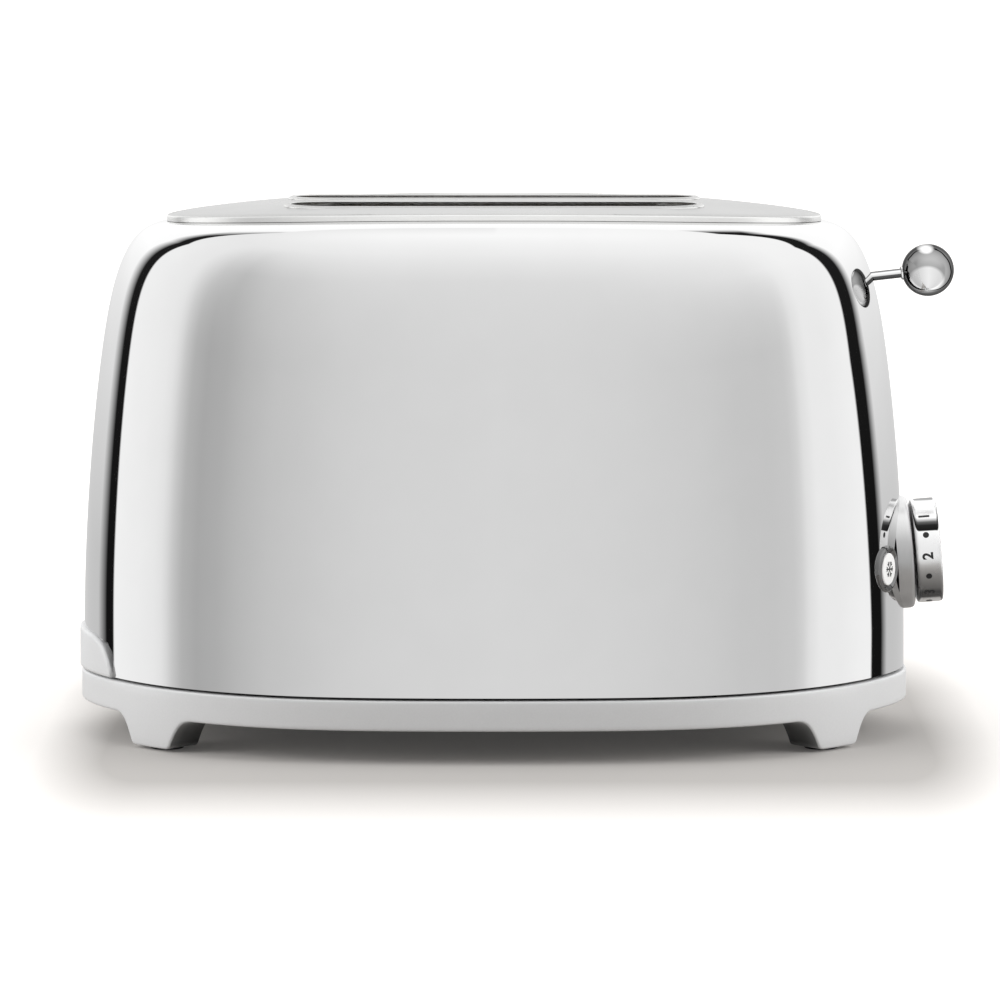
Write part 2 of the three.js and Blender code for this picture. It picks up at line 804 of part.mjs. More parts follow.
// The handle's outline seen along X: wide at the ring, with rounded shoulders and a slightly crowned top.
function handleOutline(grow) {
  const low = shellBottom - grooveHeight + gap - grow;
  const outline = new THREE.Shape();
  const side = handleHalfWidth + grow;
  const shoulder = handleShoulderHalfWidth + grow;
  const top = handleTop + grow;
  outline.moveTo(-side, low);
  outline.lineTo(side, low);
  outline.quadraticCurveTo(side, handleShoulder - handleCornerReach / 2, shoulder, handleShoulder + grow);
  outline.quadraticCurveTo(
    shoulder - handleCornerReach / 4,
    top - handleCrown,
    shoulder - handleCornerReach,
    top - handleCrown,
  );
  outline.quadraticCurveTo(0, top + handleCrown / 2, -shoulder + handleCornerReach, top - handleCrown);
  outline.quadraticCurveTo(
    -shoulder + handleCornerReach / 4,
    top - handleCrown,
    -shoulder,
    handleShoulder + grow,
  );
  outline.quadraticCurveTo(-side, handleShoulder - handleCornerReach / 2, -side, low);
  return outline;
}

const handleSpan = [-shellHalfLength - overrun, -shellHalfLength * handleSpanShare];

function trayHandle() {
  const blank = extruded("x", handleOutline(0), handleSpan, 6);
  const shield = blank.intersect(shellForm(-handleProud, overrun)).subtract(shellForm(handleThickness, overrun));
  const pad = block(
    [-shellHalfLength, trayFront - gap],
    [-handlePadHalfWidth, handlePadHalfWidth],
    [trayBottom, trayBottom + trayHeight],
  );
  return shield.add(pad.intersect(shellForm(shellWall, overrun)));
}

function crumbTray() {
  const [y0, y1] = [-trayHalfWidth, trayHalfWidth];
  const pan = block([trayFront, trayBack], [y0, y1], [trayBottom, trayBottom + trayHeight]);
  const hollow = block(
    [trayFront + trayWall, trayBack - trayWall],
    [y0 + trayWall, y1 - trayWall],
    [trayBottom + trayWall, trayBottom + trayHeight + overrun],
  );
  return pan.subtract(hollow);
}

// Shell: one drawn steel cover, open below, with its crown opening, lever slot, control holes and tray mouth.
function outerShell(cutters) {
  const crown = sideAt(heightShares.length - 1);
  const opening = solid(
    loft(
      [shellRise / 2, plateTop + crownArch + overrun].map((z) =>
        planRing(crown[0] * shellHalfLength - crownLip, crown[1] * shellHalfDepth - crownLip, z),
      ),
    ),
  );
  const middle = (leverSlotBottom + leverSlotTop) / 2;
  const leverOutline = roundedOutline(
    leverSlotHalfWidth,
    (leverSlotTop - leverSlotBottom) / 2,
    leverSlotHalfWidth,
    0,
    middle,
  );
  const leverSlot = extruded("x", leverOutline, [rodX, knobX], 4);
  const mouth = extruded("x", handleOutline(gap), handleSpan, 6);
  return cut(shellForm(0, 0).subtract(shellForm(shellWall, overrun, hiddenStations)), [opening, leverSlot, mouth, ...cutters]);
}

// Top plate: arched along its length, rounded at its rim, with a raised lip round each slot.
function topPlate() {
  const [innerShare, middleShare] = plateRingShares;
  const levels = [
    [innerShare, plateBottom],
    [middleShare, plateBottom],
    [1, plateBottom],
    [1, plateTop - plateRounding],
    [1 - plateRounding / plateHalfDepth, plateTop],
    [middleShare, plateTop + plateDome * (1 - middleShare ** 2)],
    [innerShare, plateTop + plateDome],
  ];
  const rings = levels.map(([share, z]) => planRing(plateHalfLength * share, plateHalfDepth * share, z));
  const plate = solid(arched(loft(rings)));
  const lips = [-1, 1].map((side) => {
    const geometry = new THREE.ExtrudeGeometry(slotOutline(slotLipWidth, side * slotOffset), {
      depth: plateThickness + plateDome + slotLipRise,
      bevelEnabled: false,
    });
    return solid(arched(geometry.translate(0, 0, plateBottom)));
  });
  const slots = [-1, 1].map((side) =>
    extruded("z", slotOutline(0, side * slotOffset), [plateBottom - overrun, plateTop + crownArch * 2 + overrun]),
  );
  return cut(joined([plate, ...lips]), slots);
}

// Sheet collar under each slot, which keeps the bread clear of the plate's edge.
function slotCollar(side) {
  const top = plateBottom - collarGap;
  const [outer, inner] = [collarMargin + collarWall, collarMargin].map((grow, isInner) => {
    const extra = isInner ? overrun : 0;
    const geometry = new THREE.ExtrudeGeometry(slotOutline(grow, side * slotOffset, 4), {
      depth: collarHeight + 2 * extra,
      bevelEnabled: false,
    });
    return solid(arched(geometry.translate(0, 0, top - collarHeight - extra)));
  });
  return outer.subtract(inner);
}

const guidePlaces = [
  ["front_outer", -1, 1],
  ["front_inner", -1, -1],
  ["rear_inner", 1, -1],
  ["rear_outer", 1, 1],
].map(([name, side, away]) => ({
  name,
  y: side * (slotOffset + away * guideOpen),
  inward: -side * away,
}));

// Chassis end plates: an arch on two legs, slotted for the guides and, at the lever end, for the lifts.
function endPlate(side) {
  const x = [side * endPlateInner, side * endPlateOuter].sort((a, b) => a - b);
  const cutX = [x[0] - overrun, x[1] + overrun];
  const low = floorTop + gap;
  const plate = extruded(
    "x",
    roundedOutline(chassisHalfDepth, (chassisTop - low) / 2, legWidth / 2, 0, (chassisTop + low) / 2),
    x,
    3,
  );
  const foot = chassisHalfDepth - legWidth / 2;
  const flanges = [-1, 1].map((leg) => {
    const y = [leg * (chassisHalfDepth - legWidth), leg * foot].sort((a, b) => a - b);
    const reach = [side * endPlateInner, side * (endPlateOuter + legFlange)].sort((a, b) => a - b);
    return block(reach, y, [low, low + sheet]);
  });
  const window = block(
    cutX,
    [-chassisHalfDepth + legWidth, chassisHalfDepth - legWidth],
    [low - overrun, legTop - gap],
  );
  const guideSlots = guidePlaces.flatMap(({ y, inward }) =>
    [guideBottom, guideTop - guideBar].map((z) => {
      const half = guideThickness / 2 + gap;
      const span = [y - inward * half, y + inward * (half + guideClose)].sort((a, b) => a - b);
      return block(cutX, span, [z - gap, z + guideTab + gap]);
    }),
  );
  const liftSlots = [-1, 1].map((slot) =>
    block(
      cutX,
      [slot * slotOffset - liftSlotSide, slot * slotOffset + liftSlotSide],
      [liftBottom - travel - liftSlotSide, liftBottom + liftHeight + liftSlotSide],
    ),
  );
  return cut(joined([plate, ...flanges]), [window, ...guideSlots, ...(side > 0 ? liftSlots : [])]);
}

// Chamber floor: a sheet between the end plates, with gaps under the slots where the crumbs fall.
function chamberFloor() {
  const reach = endPlateInner - gap;
  const plate = block([-reach, reach], [-chassisHalfDepth, chassisHalfDepth], [legTop, chamberFloorTop]);
  const pitch = (2 * crumbGapHalfLength) / crumbGapCount;
  const holes = [-1, 1].flatMap((side) =>
    Array.from({ length: crumbGapCount }, (_, i) => {
      const start = -crumbGapHalfLength + i * pitch + crumbBridge / 2;
      const y = [side * crumbGapInner, side * crumbGapOuter].sort((a, b) => a - b);
      return block([start, start + pitch - crumbBridge], y, [legTop - overrun, chamberFloorTop + overrun]);
    }),
  );
  return cut(plate, holes);
}

// Mica board between the end plates, notched at its ends where the wire turns.
function heaterBoard(y) {
  const reach = endPlateInner - gap;
  const half = boardThickness / 2;
  const board = block([-reach, reach], [y - half, y + half], [boardBottom, boardTop]);
  const notches = [-1, 1].map((side) => {
    const x = [side * (reach - boardNotch), side * (reach + overrun)].sort((a, b) => a - b);
    const middle = (boardBottom + boardTop) / 2;
    return block(x, [y - overrun, y + overrun], [middle - boardNotch, middle + boardNotch]);
  });
  return cut(board, notches);
}

// Resistance ribbon: one unbroken zigzag up and down the board's face.
function heaterWinding(boardY, side) {
  const near = boardY + side * (boardThickness / 2 + gap);
  const y = [near, near + side * windingThickness].sort((a, b) => a - b);
  const low = boardBottom + windingMargin;
  const high = boardTop - windingMargin;
  const reach = endPlateInner - boardNotch - windingMargin;
  const pitch = (2 * reach) / (windingRuns - 1);
  const path = Array.from({ length: windingRuns }, (_, i) => {
    const x = -reach + i * pitch;
    const ends = [new THREE.Vector2(x, low), new THREE.Vector2(x, high)];
    return i % 2 ? ends.reverse() : ends;
  }).flat();
  return extruded("y", new THREE.Shape(ribbonOutline(path, windingWidth / 2)), y);
}

// Both edges of a ribbon that follows a path with square corners.
function ribbonOutline(path, half) {
  const edge = (way) =>
    path.map((point, i) => {
      const legs = [path[i - 1], point, path[i + 1]].filter((p) => p);
      const shift = new THREE.Vector2();
      for (let k = 0; k + 1 < legs.length; k++) {
        const leg = new THREE.Vector2().subVectors(legs[k + 1], legs[k]).normalize();
        shift.add(new THREE.Vector2(-leg.y, leg.x));
      }
      return point.clone().addScaledVector(shift, way * half);
    });
  return [...edge(-1), ...edge(1).reverse()];
}

// Heat reflector: a bright sheet behind each outer board, stiffened by two pressed ribs.
function reflector(side) {
  const reach = endPlateInner - gap;
  const y = [side * reflectorOffset, side * (reflectorOffset + reflectorThickness)].sort((a, b) => a - b);
  const panel = block([-reach, reach], y, [chamberFloorTop + gap, boardTop]);
  const outer = side * (reflectorOffset + reflectorThickness / 2);
  const ribs = reflectorRibShares.map((share) => {
    const z = boardBottom + (boardTop - boardBottom) * share;
    const ribY = [outer, outer + side * reflectorRib].sort((a, b) => a - b);
    return block([-reach * reflectorRibReachShare, reach * reflectorRibReachShare], ribY, [z - reflectorRib, z + reflectorRib]);
  });
  return joined([panel, ...ribs]);
}

// Bread guide: a grid of upright wires between two bars, hung by tabs in the end plates' slots.
function breadGuide({ y }) {
  const across = [y - guideThickness / 2, y + guideThickness / 2];
  const frame = block([-guideHalfLength, guideHalfLength], across, [guideBottom, guideTop]);
  const pitch = (2 * guideHalfLength - guideWire) / guideGaps;
  const windows = Array.from({ length: guideGaps }, (_, i) => {
    const start = -guideHalfLength + guideWire + i * pitch;
    return block(
      [start, start + pitch - guideWire],
      [y - overrun, y + overrun],
      [guideBottom + guideBar, guideTop - guideBar],
    );
  });
  const reach = endPlateOuter + gap;
  const tabs = [guideBottom, guideTop - guideBar].map((z) =>
    block([-reach, reach], across, [z, z + guideTab]),
  );
  return cut(joined([frame, ...tabs]), windows);
}

// Carriage
function guideRod() {
  return upright(rodRadius, rodX, 0, [floorTop + gap, rodTop]);
}

function rodBracket() {
  const low = rodTop - bracketThickness * 2;
  const arm = extruded(
    "z",
    roundedOutline(
      (rodX + bracketHalfWidth - endPlateOuter - gap) / 2,
      bracketHalfWidth,
      bracketThickness,
      (rodX + bracketHalfWidth + endPlateOuter + gap) / 2,
      0,
    ),
    [low, low + bracketThickness],
  );
  const flange = block(
    [endPlateOuter + gap, endPlateOuter + gap + sheet],
    [-bracketHalfWidth, bracketHalfWidth],
    [low - bracketFlange, low + bracketThickness],
  );
  return cut(arm.add(flange), [upright(rodRadius + gap, rodX, 0, [low - overrun, rodTop + overrun])]);
}

// Direction and ends of the lever arm.
const leverDirection = new THREE.Vector3(Math.cos(leverTilt), 0, Math.sin(leverTilt));
const knobCentre = new THREE.Vector3(knobX, 0, knobZ);
function alongLever(x) {
  return knobCentre.clone().addScaledVector(leverDirection, (x - knobX) / leverDirection.x);
}

function carriageSlider() {
  const reach = rodX + sliderReach;
  const body = extruded(
    "z",
    roundedOutline(
      (reach - crossbarEnd - gap) / 2,
      sliderHalfWidth,
      bracketThickness,
      (reach + crossbarEnd + gap) / 2,
      0,
    ),
    [sliderBottom, sliderTop],
  );
  const bore = upright(rodRadius + gap, rodX, 0, [sliderBottom - overrun, sliderTop + overrun]);
  const waist = block(
    [crossbarEnd - overrun, reach + overrun],
    [sliderHalfWidth / 2 + rodRadius / 2, sliderHalfWidth + overrun],
    [crossbarTop + overrun, sliderTop - sliderHead],
  );
  const socket = rod(armRadius + gap, alongLever(reach - armSeat), alongLever(reach + armSeat), 12);
  return cut(body, [bore, waist, socket]);
}

function leverArm() {
  const start = rodX + sliderReach - armSeat + gap * 2;
  return rod(armRadius, alongLever(start), alongLever(knobX - knobRadius + knobBoreDepth - gap * 2), 12);
}

function leverKnob() {
  const group = facing(knobCentre, leverDirection.clone().negate());
  const ball = solid(new THREE.SphereGeometry(knobRadius, 18, 11));
  const collar = turned(
    [
      [0, 0],
      [knobCollarRadius, 0],
      [knobCollarRadius, knobRadius + knobCollarLength],
      [0, knobRadius + knobCollarLength],
    ],
    16,
  );
  const bore = turned(
    [
      [0, knobRadius - knobBoreDepth],
      [armRadius + gap, knobRadius - knobBoreDepth],
      [armRadius + gap, knobRadius + knobCollarLength + overrun],
      [0, knobRadius + knobCollarLength + overrun],
    ],
    12,
  );
  carriage.add(group);
  piece(group, "lever_knob", ball.add(collar).subtract(bore), polished);
}

function crossbar() {
  const half = slotOffset + liftThickness * 3;
  const outline = roundedOutline(half, (crossbarTop - crossbarBottom) / 2, bracketThickness, 0, 0);
  const geometry = new THREE.ExtrudeGeometry(outline, {
    depth: crossbarThickness,
    bevelEnabled: false,
    curveSegments: 3,
  });
  const turn = new THREE.Matrix4().set(
    ...[0, 0, 1, crossbarX, 1, 0, 0, 0],
    ...[0, 1, 0, (crossbarBottom + crossbarTop) / 2, 0, 0, 0, 1],
  );
  return solid(geometry.applyMatrix4(turn));
}

// Bread lift: a thin blade under the slot with a row of cross tabs that carry the slice.
function breadLift(side) {
  const y = side * slotOffset;
  const half = liftThickness / 2;
  const top = liftBottom + liftHeight;
  const blade = block([-liftHalfLength, crossbarX - gap], [y - half, y + half], [liftBottom, top]);
  const tabs = Array.from({ length: liftTabCount }, (_, i) => {
    const share = (2 * i) / (liftTabCount - 1) - 1;
    const x = share * (liftHalfLength - liftTabInset);
    return block(
      [x - liftTabLength / 2, x + liftTabLength / 2],
      [y - liftTabHalfWidth, y + liftTabHalfWidth],
      [top - liftThickness, top],
    );
  });
  return joined([blade, ...tabs]);
}

// Return spring round the rod: one unbroken wire, swept through its turns.
function liftSpring() {
  const low = floorTop + gap + springWire;
  const high = sliderBottom - gap - springWire;
  const count = springTurns * springSteps;
  const rings = Array.from({ length: count + 1 }, (_, i) => {
    const angle = (2 * Math.PI * i) / springSteps;
    const z = low + ((high - low) * i) / count;
    return Array.from({ length: springSides }, (_, k) => {
      const turn = (-2 * Math.PI * k) / springSides;
      const radius = springRadius + springWire * Math.cos(turn);
      return new THREE.Vector3(
        rodX + radius * Math.cos(angle),
        radius * Math.sin(angle),
        z + springWire * Math.sin(turn),
      );
    });
  });
  const pitch = (high - low) / springTurns;
  console.log(`spring: least gap between turns ${(pitch - 2 * springWire).toFixed(2)} mm`);
  return solid(loft(rings));
}

function armature() {
  const x0 = crossbarEnd + gap;
  const half = armatureHalfWidth;
  return block([x0, x0 + armatureLength], [magnetY - half, magnetY + half], [
    crossbarTop - armatureThickness * 2,
    crossbarTop - armatureThickness,
  ]);
}

function magnetCore() {
  const low = floorTop + gap;
  const top = crossbarTop - armatureThickness * 2 - travel - gap;
  const profile = [
    [0, low],
    [magnetFlangeRadius, low],
    [magnetFlangeRadius, low + magnetFlangeHeight],
    [magnetPoleRadius, low + magnetFlangeHeight],
    [magnetPoleRadius, top],
    [0, top],
  ];
  return turned(profile, 20, new THREE.Matrix4().makeTranslation(rodX, magnetY, 0));
}

function magnetCoil() {
  const low = floorTop + gap + magnetFlangeHeight + gap;
  const profile = [
    [magnetPoleRadius + gap, low],
    [coilRadius, low],
    [coilRadius, low + magnetFlangeHeight],
    [coilRadius - magnetFlangeHeight, low + magnetFlangeHeight],
    [coilRadius - magnetFlangeHeight, low + coilHeight - magnetFlangeHeight],
    [coilRadius, low + coilHeight - magnetFlangeHeight],
    [coilRadius, low + coilHeight],
    [magnetPoleRadius + gap, low + coilHeight],
    [magnetPoleRadius + gap, low],
  ];
  return turned(profile, 20, new THREE.Matrix4().makeTranslation(rodX, magnetY, 0));
}

// Dial: its axis tilts up a little from the shell's end.
const dialAxis = new THREE.Vector3(Math.cos(dialTilt), 0, Math.sin(dialTilt));
const dialSeat = shellEndPoint(dialZ, 0).point;
const dialFixed = facing(dialSeat, dialAxis);
const dialGroup = facing(dialSeat, dialAxis);
const shellSkin = shellForm(-gap, overrun);

function dialBezel() {
  const back = -bezelRadius;
  const flange = turned(
    [
      [bezelBore, back],
      [bezelRadius, back],
      [bezelRadius, bezelReach - bezelRounding],
      [bezelRadius - bezelRounding, bezelReach],
      [bezelBore, bezelReach],
      [bezelBore, back],
    ],
    32,
  ).subtract(inFrameOf(dialFixed, shellSkin));
  const bore = bezelNeckRadius - bezelNeckWall;
  const neck = turned(
    [
      [bore, -bezelNeckLength],
      [bezelNeckRadius, -bezelNeckLength],
      [bezelNeckRadius, bezelReach / 2],
      [bezelBore + bezelRounding, bezelReach / 2],
      [bezelBore + bezelRounding, bezelReach],
      [bore, bezelReach],
      [bore, -bezelNeckLength],
    ],
    24,
  );
  return flange.add(neck);
}

function dialKnob() {
  const back = bezelReach + dialSeam;
  const face = back + dialLength;
  const bore = shaftRadius + gap;
  const profile = [
    [bore, back],
    [dialRadius - dialRounding / 2, back],
    [dialRadius, back + dialRounding / 2],
    [dialRadius, face - dialRounding],
    [dialRadius - dialRounding * dialSoftShare, face - dialRounding * dialSoftShare],
    [dialRadius - dialRounding, face],
    [dialRadius * dialRimShare, face],
    [dialRadius * dialFloorShare, face - dialDish],
    [0, face - dialDish],
    [0, back + dialBore],
    [bore, back + dialBore],
    [bore, back],
  ];
  return turned(profile, 32);
}

function dialShaft() {
  const tip = bezelReach + dialSeam + dialBore - gap;
  const profile = [
    [0, tip - shaftLength],
    [shaftRadius, tip - shaftLength],
    [shaftRadius, tip],
    [0, tip],
  ];
  return turned(profile, 16);
}

// The potentiometer's body runs from the control board to the shaft's end.
function potentiometer() {
  const tip = bezelReach + dialSeam + dialBore - gap - shaftLength - gap;
  const onBoard = dialSeat.clone().setX(boardX + circuitThickness).sub(dialSeat).length();
  const back = -onBoard + potRadius * Math.sin(dialTilt) + gap;
  const shoulder = tip - potCollarLength;
  const profile = [
    [0, back],
    [potRadius, back],
    [potRadius, shoulder],
    [potCollarRadius, shoulder],
    [potCollarRadius, tip],
    [0, tip],
  ];
  return turned(profile, 20, dialFixed.matrix);
}

function controlBoard() {
  const low = floorTop + gap;
  const outline = roundedOutline(circuitHalfWidth, (circuitTop - low) / 2, circuitCorner, 0, (circuitTop + low) / 2);
  return extruded("x", outline, [boardX, boardX + circuitThickness], 3);
}

// Buttons sit square to the shell on both sides of the dial.
const buttonSides = [
  ["front", -1],
  ["rear", 1],
].map(([name, side]) => {
  const { point, outward } = shellEndPoint(buttonZ, side * buttonY);
  return { name, side, point, outward };
});

function buttonHoles() {
  return buttonSides.map(({ point, outward }) =>
    rod(
      buttonRadius + 3 * gap + buttonRounding,
      point.clone().addScaledVector(outward, -buttonRingRadius),
      point.clone().addScaledVector(outward, buttonRingRadius),
      20,
    ),
  );
}

function buttons() {
  for (const { name, side, point, outward } of buttonSides) {
    const seat = facing(point, outward);
    const bore = buttonRadius + gap;
    const neckRadius = bore + buttonRounding + gap;
    const flange = turned(
      [
        [bore, -buttonRingRadius],
        [buttonRingRadius, -buttonRingRadius],
        [buttonRingRadius, buttonRingReach - buttonRounding / 2],
        [buttonRingRadius - buttonRounding, buttonRingReach],
        [bore, buttonRingReach],
        [bore, -buttonRingRadius],
      ],
      20,
    ).subtract(inFrameOf(seat, shellSkin));
    const neck = turned(
      [
        [bore, -buttonNeck],
        [neckRadius, -buttonNeck],
        [neckRadius, buttonRingReach / 2],
        [bore, buttonRingReach / 2],
        [bore, -buttonNeck],
      ],
      20,
    );
    piece(seat, `button_ring_${name}`, flange.add(neck), polished);
    const moving = facing(point, outward);
    const back = -buttonSkirt;
    const cap = turned(
      [
        [0, back - buttonStemLength],
        [buttonStemRadius, back - buttonStemLength],
        [buttonStemRadius, back],
        [buttonRadius, back],
        [buttonRadius, buttonReach - buttonRounding],
        [buttonRadius - buttonRounding, buttonReach],
        [0, buttonReach + buttonRounding / 4],
      ],
      20,
    );
    piece(moving, `button_${name}`, cap, white);
    const stemEnd = point.clone().addScaledVector(outward, back - buttonStemLength);
    const x = boardX + circuitThickness + gap;
    const y = side * Math.abs(stemEnd.y);
    const body = block(
      [x, x + switchLength],
      [y - switchHalfWidth, y + switchHalfWidth],
      [buttonZ - switchHalfWidth, buttonZ + switchHalfWidth],
    );
    const plungerEnd = stemEnd.x - buttonTravel / 2 - buttonStemRadius;
    const plunger = block(
      [x + switchLength / 2, Math.max(plungerEnd - buttonTravel, x + switchLength)],
      [y - buttonStemRadius, y + buttonStemRadius],
      [buttonZ - buttonStemRadius, buttonZ + buttonStemRadius],
    );
    piece(fixed, `button_switch_${name}`, body.add(plunger), black);
  }
}

function terminalBlock() {
  const low = floorTop + gap;
  const [halfX, halfY] = [terminalLength / 2, terminalDepth / 2];
  const body = block(
    [terminalX - halfX, terminalX + halfX],
    [terminalY - halfY, terminalY + halfY],
    [low, low + terminalHeight],
  );
  const pitch = terminalLength / terminalCount;
  const wells = Array.from({ length: terminalCount }, (_, i) =>
    upright(
      terminalWellRadius,
      terminalX + (i - (terminalCount - 1) / 2) * pitch,
      terminalY,
      [low + terminalHeight - terminalWellDepth, low + terminalHeight + overrun],
      10,
    ),
  );
  return cut(body, wells);
}

// All the pieces
const bezelHole = rod(
  bezelNeckRadius + gap,
  dialSeat.clone().addScaledVector(dialAxis, -bezelRadius),
  dialSeat.clone().addScaledVector(dialAxis, bezelRadius),
  24,
);
piece(fixed, "outer_shell", outerShell([bezelHole, ...buttonHoles()]), polished);
piece(fixed, "top_plate", topPlate(), satin);
piece(fixed, "base_ring", baseRing(), silver);
footPads();
piece(fixed, "bottom_plate", bottomPlate(), zinc);
screws();
piece(fixed, "cord_gland", cordGland(), black);
piece(fixed, "terminal_block", terminalBlock(), black);

piece(fixed, "end_plate_left", endPlate(-1), zinc);
piece(fixed, "end_plate_right", endPlate(1), zinc);
piece(fixed, "chamber_floor", chamberFloor(), zinc);
piece(fixed, "slot_collar_front", slotCollar(-1), zinc);
piece(fixed, "slot_collar_rear", slotCollar(1), zinc);
piece(fixed, "reflector_front", reflector(-1), zinc);
piece(fixed, "reflector_rear", reflector(1), zinc);
piece(fixed, "heater_board_front", heaterBoard(-boardOffset), mica);
piece(fixed, "heater_board_middle", heaterBoard(0), mica);
piece(fixed, "heater_board_rear", heaterBoard(boardOffset), mica);
piece(fixed, "heater_winding_front", heaterWinding(-boardOffset, 1), wire);
piece(fixed, "heater_winding_middle_front", heaterWinding(0, -1), wire);
piece(fixed, "heater_winding_middle_rear", heaterWinding(0, 1), wire);
piece(fixed, "heater_winding_rear", heaterWinding(boardOffset, -1), wire);

piece(fixed, "guide_rod", guideRod(), zinc);
piece(fixed, "rod_bracket", rodBracket(), zinc);
piece(fixed, "lift_spring", liftSpring(), wire);
piece(fixed, "magnet_core", magnetCore(), zinc);
piece(fixed, "magnet_coil", magnetCoil(), copper);
piece(fixed, "control_board", controlBoard(), circuit);
piece(fixed, "potentiometer", potentiometer(), black);

piece(carriage, "carriage_slider", carriageSlider(), black);
piece(carriage, "carriage_crossbar", crossbar(), zinc);
piece(carriage, "bread_lift_front", breadLift(-1), zinc);
piece(carriage, "bread_lift_rear", breadLift(1), zinc);
piece(carriage, "armature", armature(), zinc);
piece(carriage, "lever_arm", leverArm(), polished);
leverKnob();

for (const place of guidePlaces) piece(movingGroup(), `bread_guide_${place.name}`, breadGuide(place), zinc);

piece(dialFixed, "dial_bezel", dialBezel(), satin);
piece(dialGroup, "dial", dialKnob(), silver);
piece(dialGroup, "dial_shaft", dialShaft(), zinc);
buttons();

piece(tray, "crumb_tray", crumbTray(), zinc);
piece(tray, "crumb_tray_handle", trayHandle(), silver);

// The part's origin is under the middle of its outer box, on the surface it stands on.
const reach = new THREE.Box3().setFromObject(toaster);
toaster.position.x = -(reach.min.x + reach.max.x) / 2;

const part = new THREE.Group();
part.add(toaster);
export default part;
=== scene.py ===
# %% [markdown]
# A two-slice toaster of polished steel stands on a pale floor, seen from the front with a long lens. The
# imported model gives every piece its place. This lesson gives the pieces their fine form and finish.

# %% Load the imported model
import json
import math

import bmesh
import bpy
import numpy as np
from mathutils import Matrix, Vector


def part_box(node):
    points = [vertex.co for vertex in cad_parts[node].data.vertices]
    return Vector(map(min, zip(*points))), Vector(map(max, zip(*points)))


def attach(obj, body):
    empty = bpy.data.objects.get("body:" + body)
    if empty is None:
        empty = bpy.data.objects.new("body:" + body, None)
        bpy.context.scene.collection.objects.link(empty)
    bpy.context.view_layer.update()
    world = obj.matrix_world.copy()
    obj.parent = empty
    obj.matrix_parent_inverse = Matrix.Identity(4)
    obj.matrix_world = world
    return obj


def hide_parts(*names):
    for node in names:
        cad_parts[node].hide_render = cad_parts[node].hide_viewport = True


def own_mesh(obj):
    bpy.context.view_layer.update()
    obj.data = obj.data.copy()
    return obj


MM = 0.001
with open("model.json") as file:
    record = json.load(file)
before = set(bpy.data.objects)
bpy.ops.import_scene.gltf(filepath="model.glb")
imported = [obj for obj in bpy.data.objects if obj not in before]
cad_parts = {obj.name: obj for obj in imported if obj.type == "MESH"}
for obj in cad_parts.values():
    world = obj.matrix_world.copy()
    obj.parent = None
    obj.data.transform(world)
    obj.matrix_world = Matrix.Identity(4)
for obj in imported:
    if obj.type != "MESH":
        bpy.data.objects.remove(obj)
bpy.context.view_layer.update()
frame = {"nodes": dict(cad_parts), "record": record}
scene = bpy.context.scene
ring_low, ring_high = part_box("base_ring")
MIDDLE_X = (ring_low.x + ring_high.x) / 2 / MM
print("nodes:", len(frame["nodes"]), "body's middle at x =", round(MIDDLE_X, 3), "mm")


def add_object(name, data):
    obj = bpy.data.objects.new(name, data)
    scene.collection.objects.link(obj)
    return obj


def aim(obj, place, target):
    """Sets a camera or a lamp at a place and turns it towards a target."""
    obj.location = place
    obj.rotation_euler = (Vector(target) - Vector(place)).to_track_quat("-Z", "Y").to_euler()


# %% [markdown]
# The photograph is taken a little from above with a long lens, so the sides stay almost parallel. The
# camera stands 2.33 m in front and looks down by about six degrees at the middle of the picture.

# %% Camera
CAMERA_DISTANCE = 2331
CAMERA_HEIGHT = 342
AIM_X = 2.2
AIM_Z = 86
LENS = 224.4
SENSOR_WIDTH = 36
SIGHT = 50

camera_data = bpy.data.cameras.new("camera")
camera_data.lens = LENS
camera_data.sensor_width = SENSOR_WIDTH
camera_data.clip_end = SIGHT
camera = add_object("camera", camera_data)
stand = Vector((MIDDLE_X + AIM_X, -CAMERA_DISTANCE, CAMERA_HEIGHT)) * MM
aim(camera, stand, Vector((MIDDLE_X + AIM_X, 0, AIM_Z)) * MM)
scene.camera = camera
scene.view_settings.view_transform = "Standard"

# %% [markdown]
# Metal and moulded pieces are never quite even. Two small shader groups give every finish its life: one
# varies a value over the surface in soft clouds, the other raises a fine grain, which can be drawn out
# along an axis.

# %% Shader groups
NOISE_RANGE = (0.3, 0.7)
GRAIN_HEIGHT = 0.0001


def fill(node, inputs):
    """Gives a node's inputs their values, or links them to sockets or to the first outputs of other nodes."""
    for key, value in inputs.items():
        value = value.outputs[0] if isinstance(value, bpy.types.Node) else value
        if isinstance(value, bpy.types.NodeSocket):
            node.id_data.links.new(value, node.inputs[key])
        else:
            node.inputs[key].default_value = value
    return node


def add_node(tree, kind, inputs=(), **settings):
    node = tree.nodes.new(kind)
    for key, value in settings.items():
        setattr(node, key, value)
    return fill(node, dict(inputs))


def maths(first, operation, second=0.0):
    return add_node(first.id_data, "ShaderNodeMath", {0: first, 1: second}, operation=operation)


def level(source, low, high, first=0.0, last=1.0):
    """A value that runs from a first to a last number while its source runs from low to high."""
    inputs = {"Value": source, "From Min": low, "From Max": high, "To Min": first, "To Max": last}
    return add_node(source.id_data, "ShaderNodeMapRange", inputs)


def greys(source, stops, low, high):
    """Greys over the range of a source. Each stop is a number in that range and its grey."""
    node = add_node(source.id_data, "ShaderNodeValToRGB", {"Fac": level(source, low, high)})
    band = node.color_ramp
    band.elements.remove(band.elements[-1])
    for index, (number, grey) in enumerate(stops):
        place = (number - low) / (high - low)
        stop = band.elements[0] if index == 0 else band.elements.new(place)
        stop.position = place
        stop.color = (grey, grey, grey, 1)
    return node


def parts_of(tree, kind, output):
    """The X, Y and Z of a vector that a new node gives out."""
    source = add_node(tree, kind).outputs[output]
    return add_node(tree, "ShaderNodeSeparateXYZ", {"Vector": source}).outputs


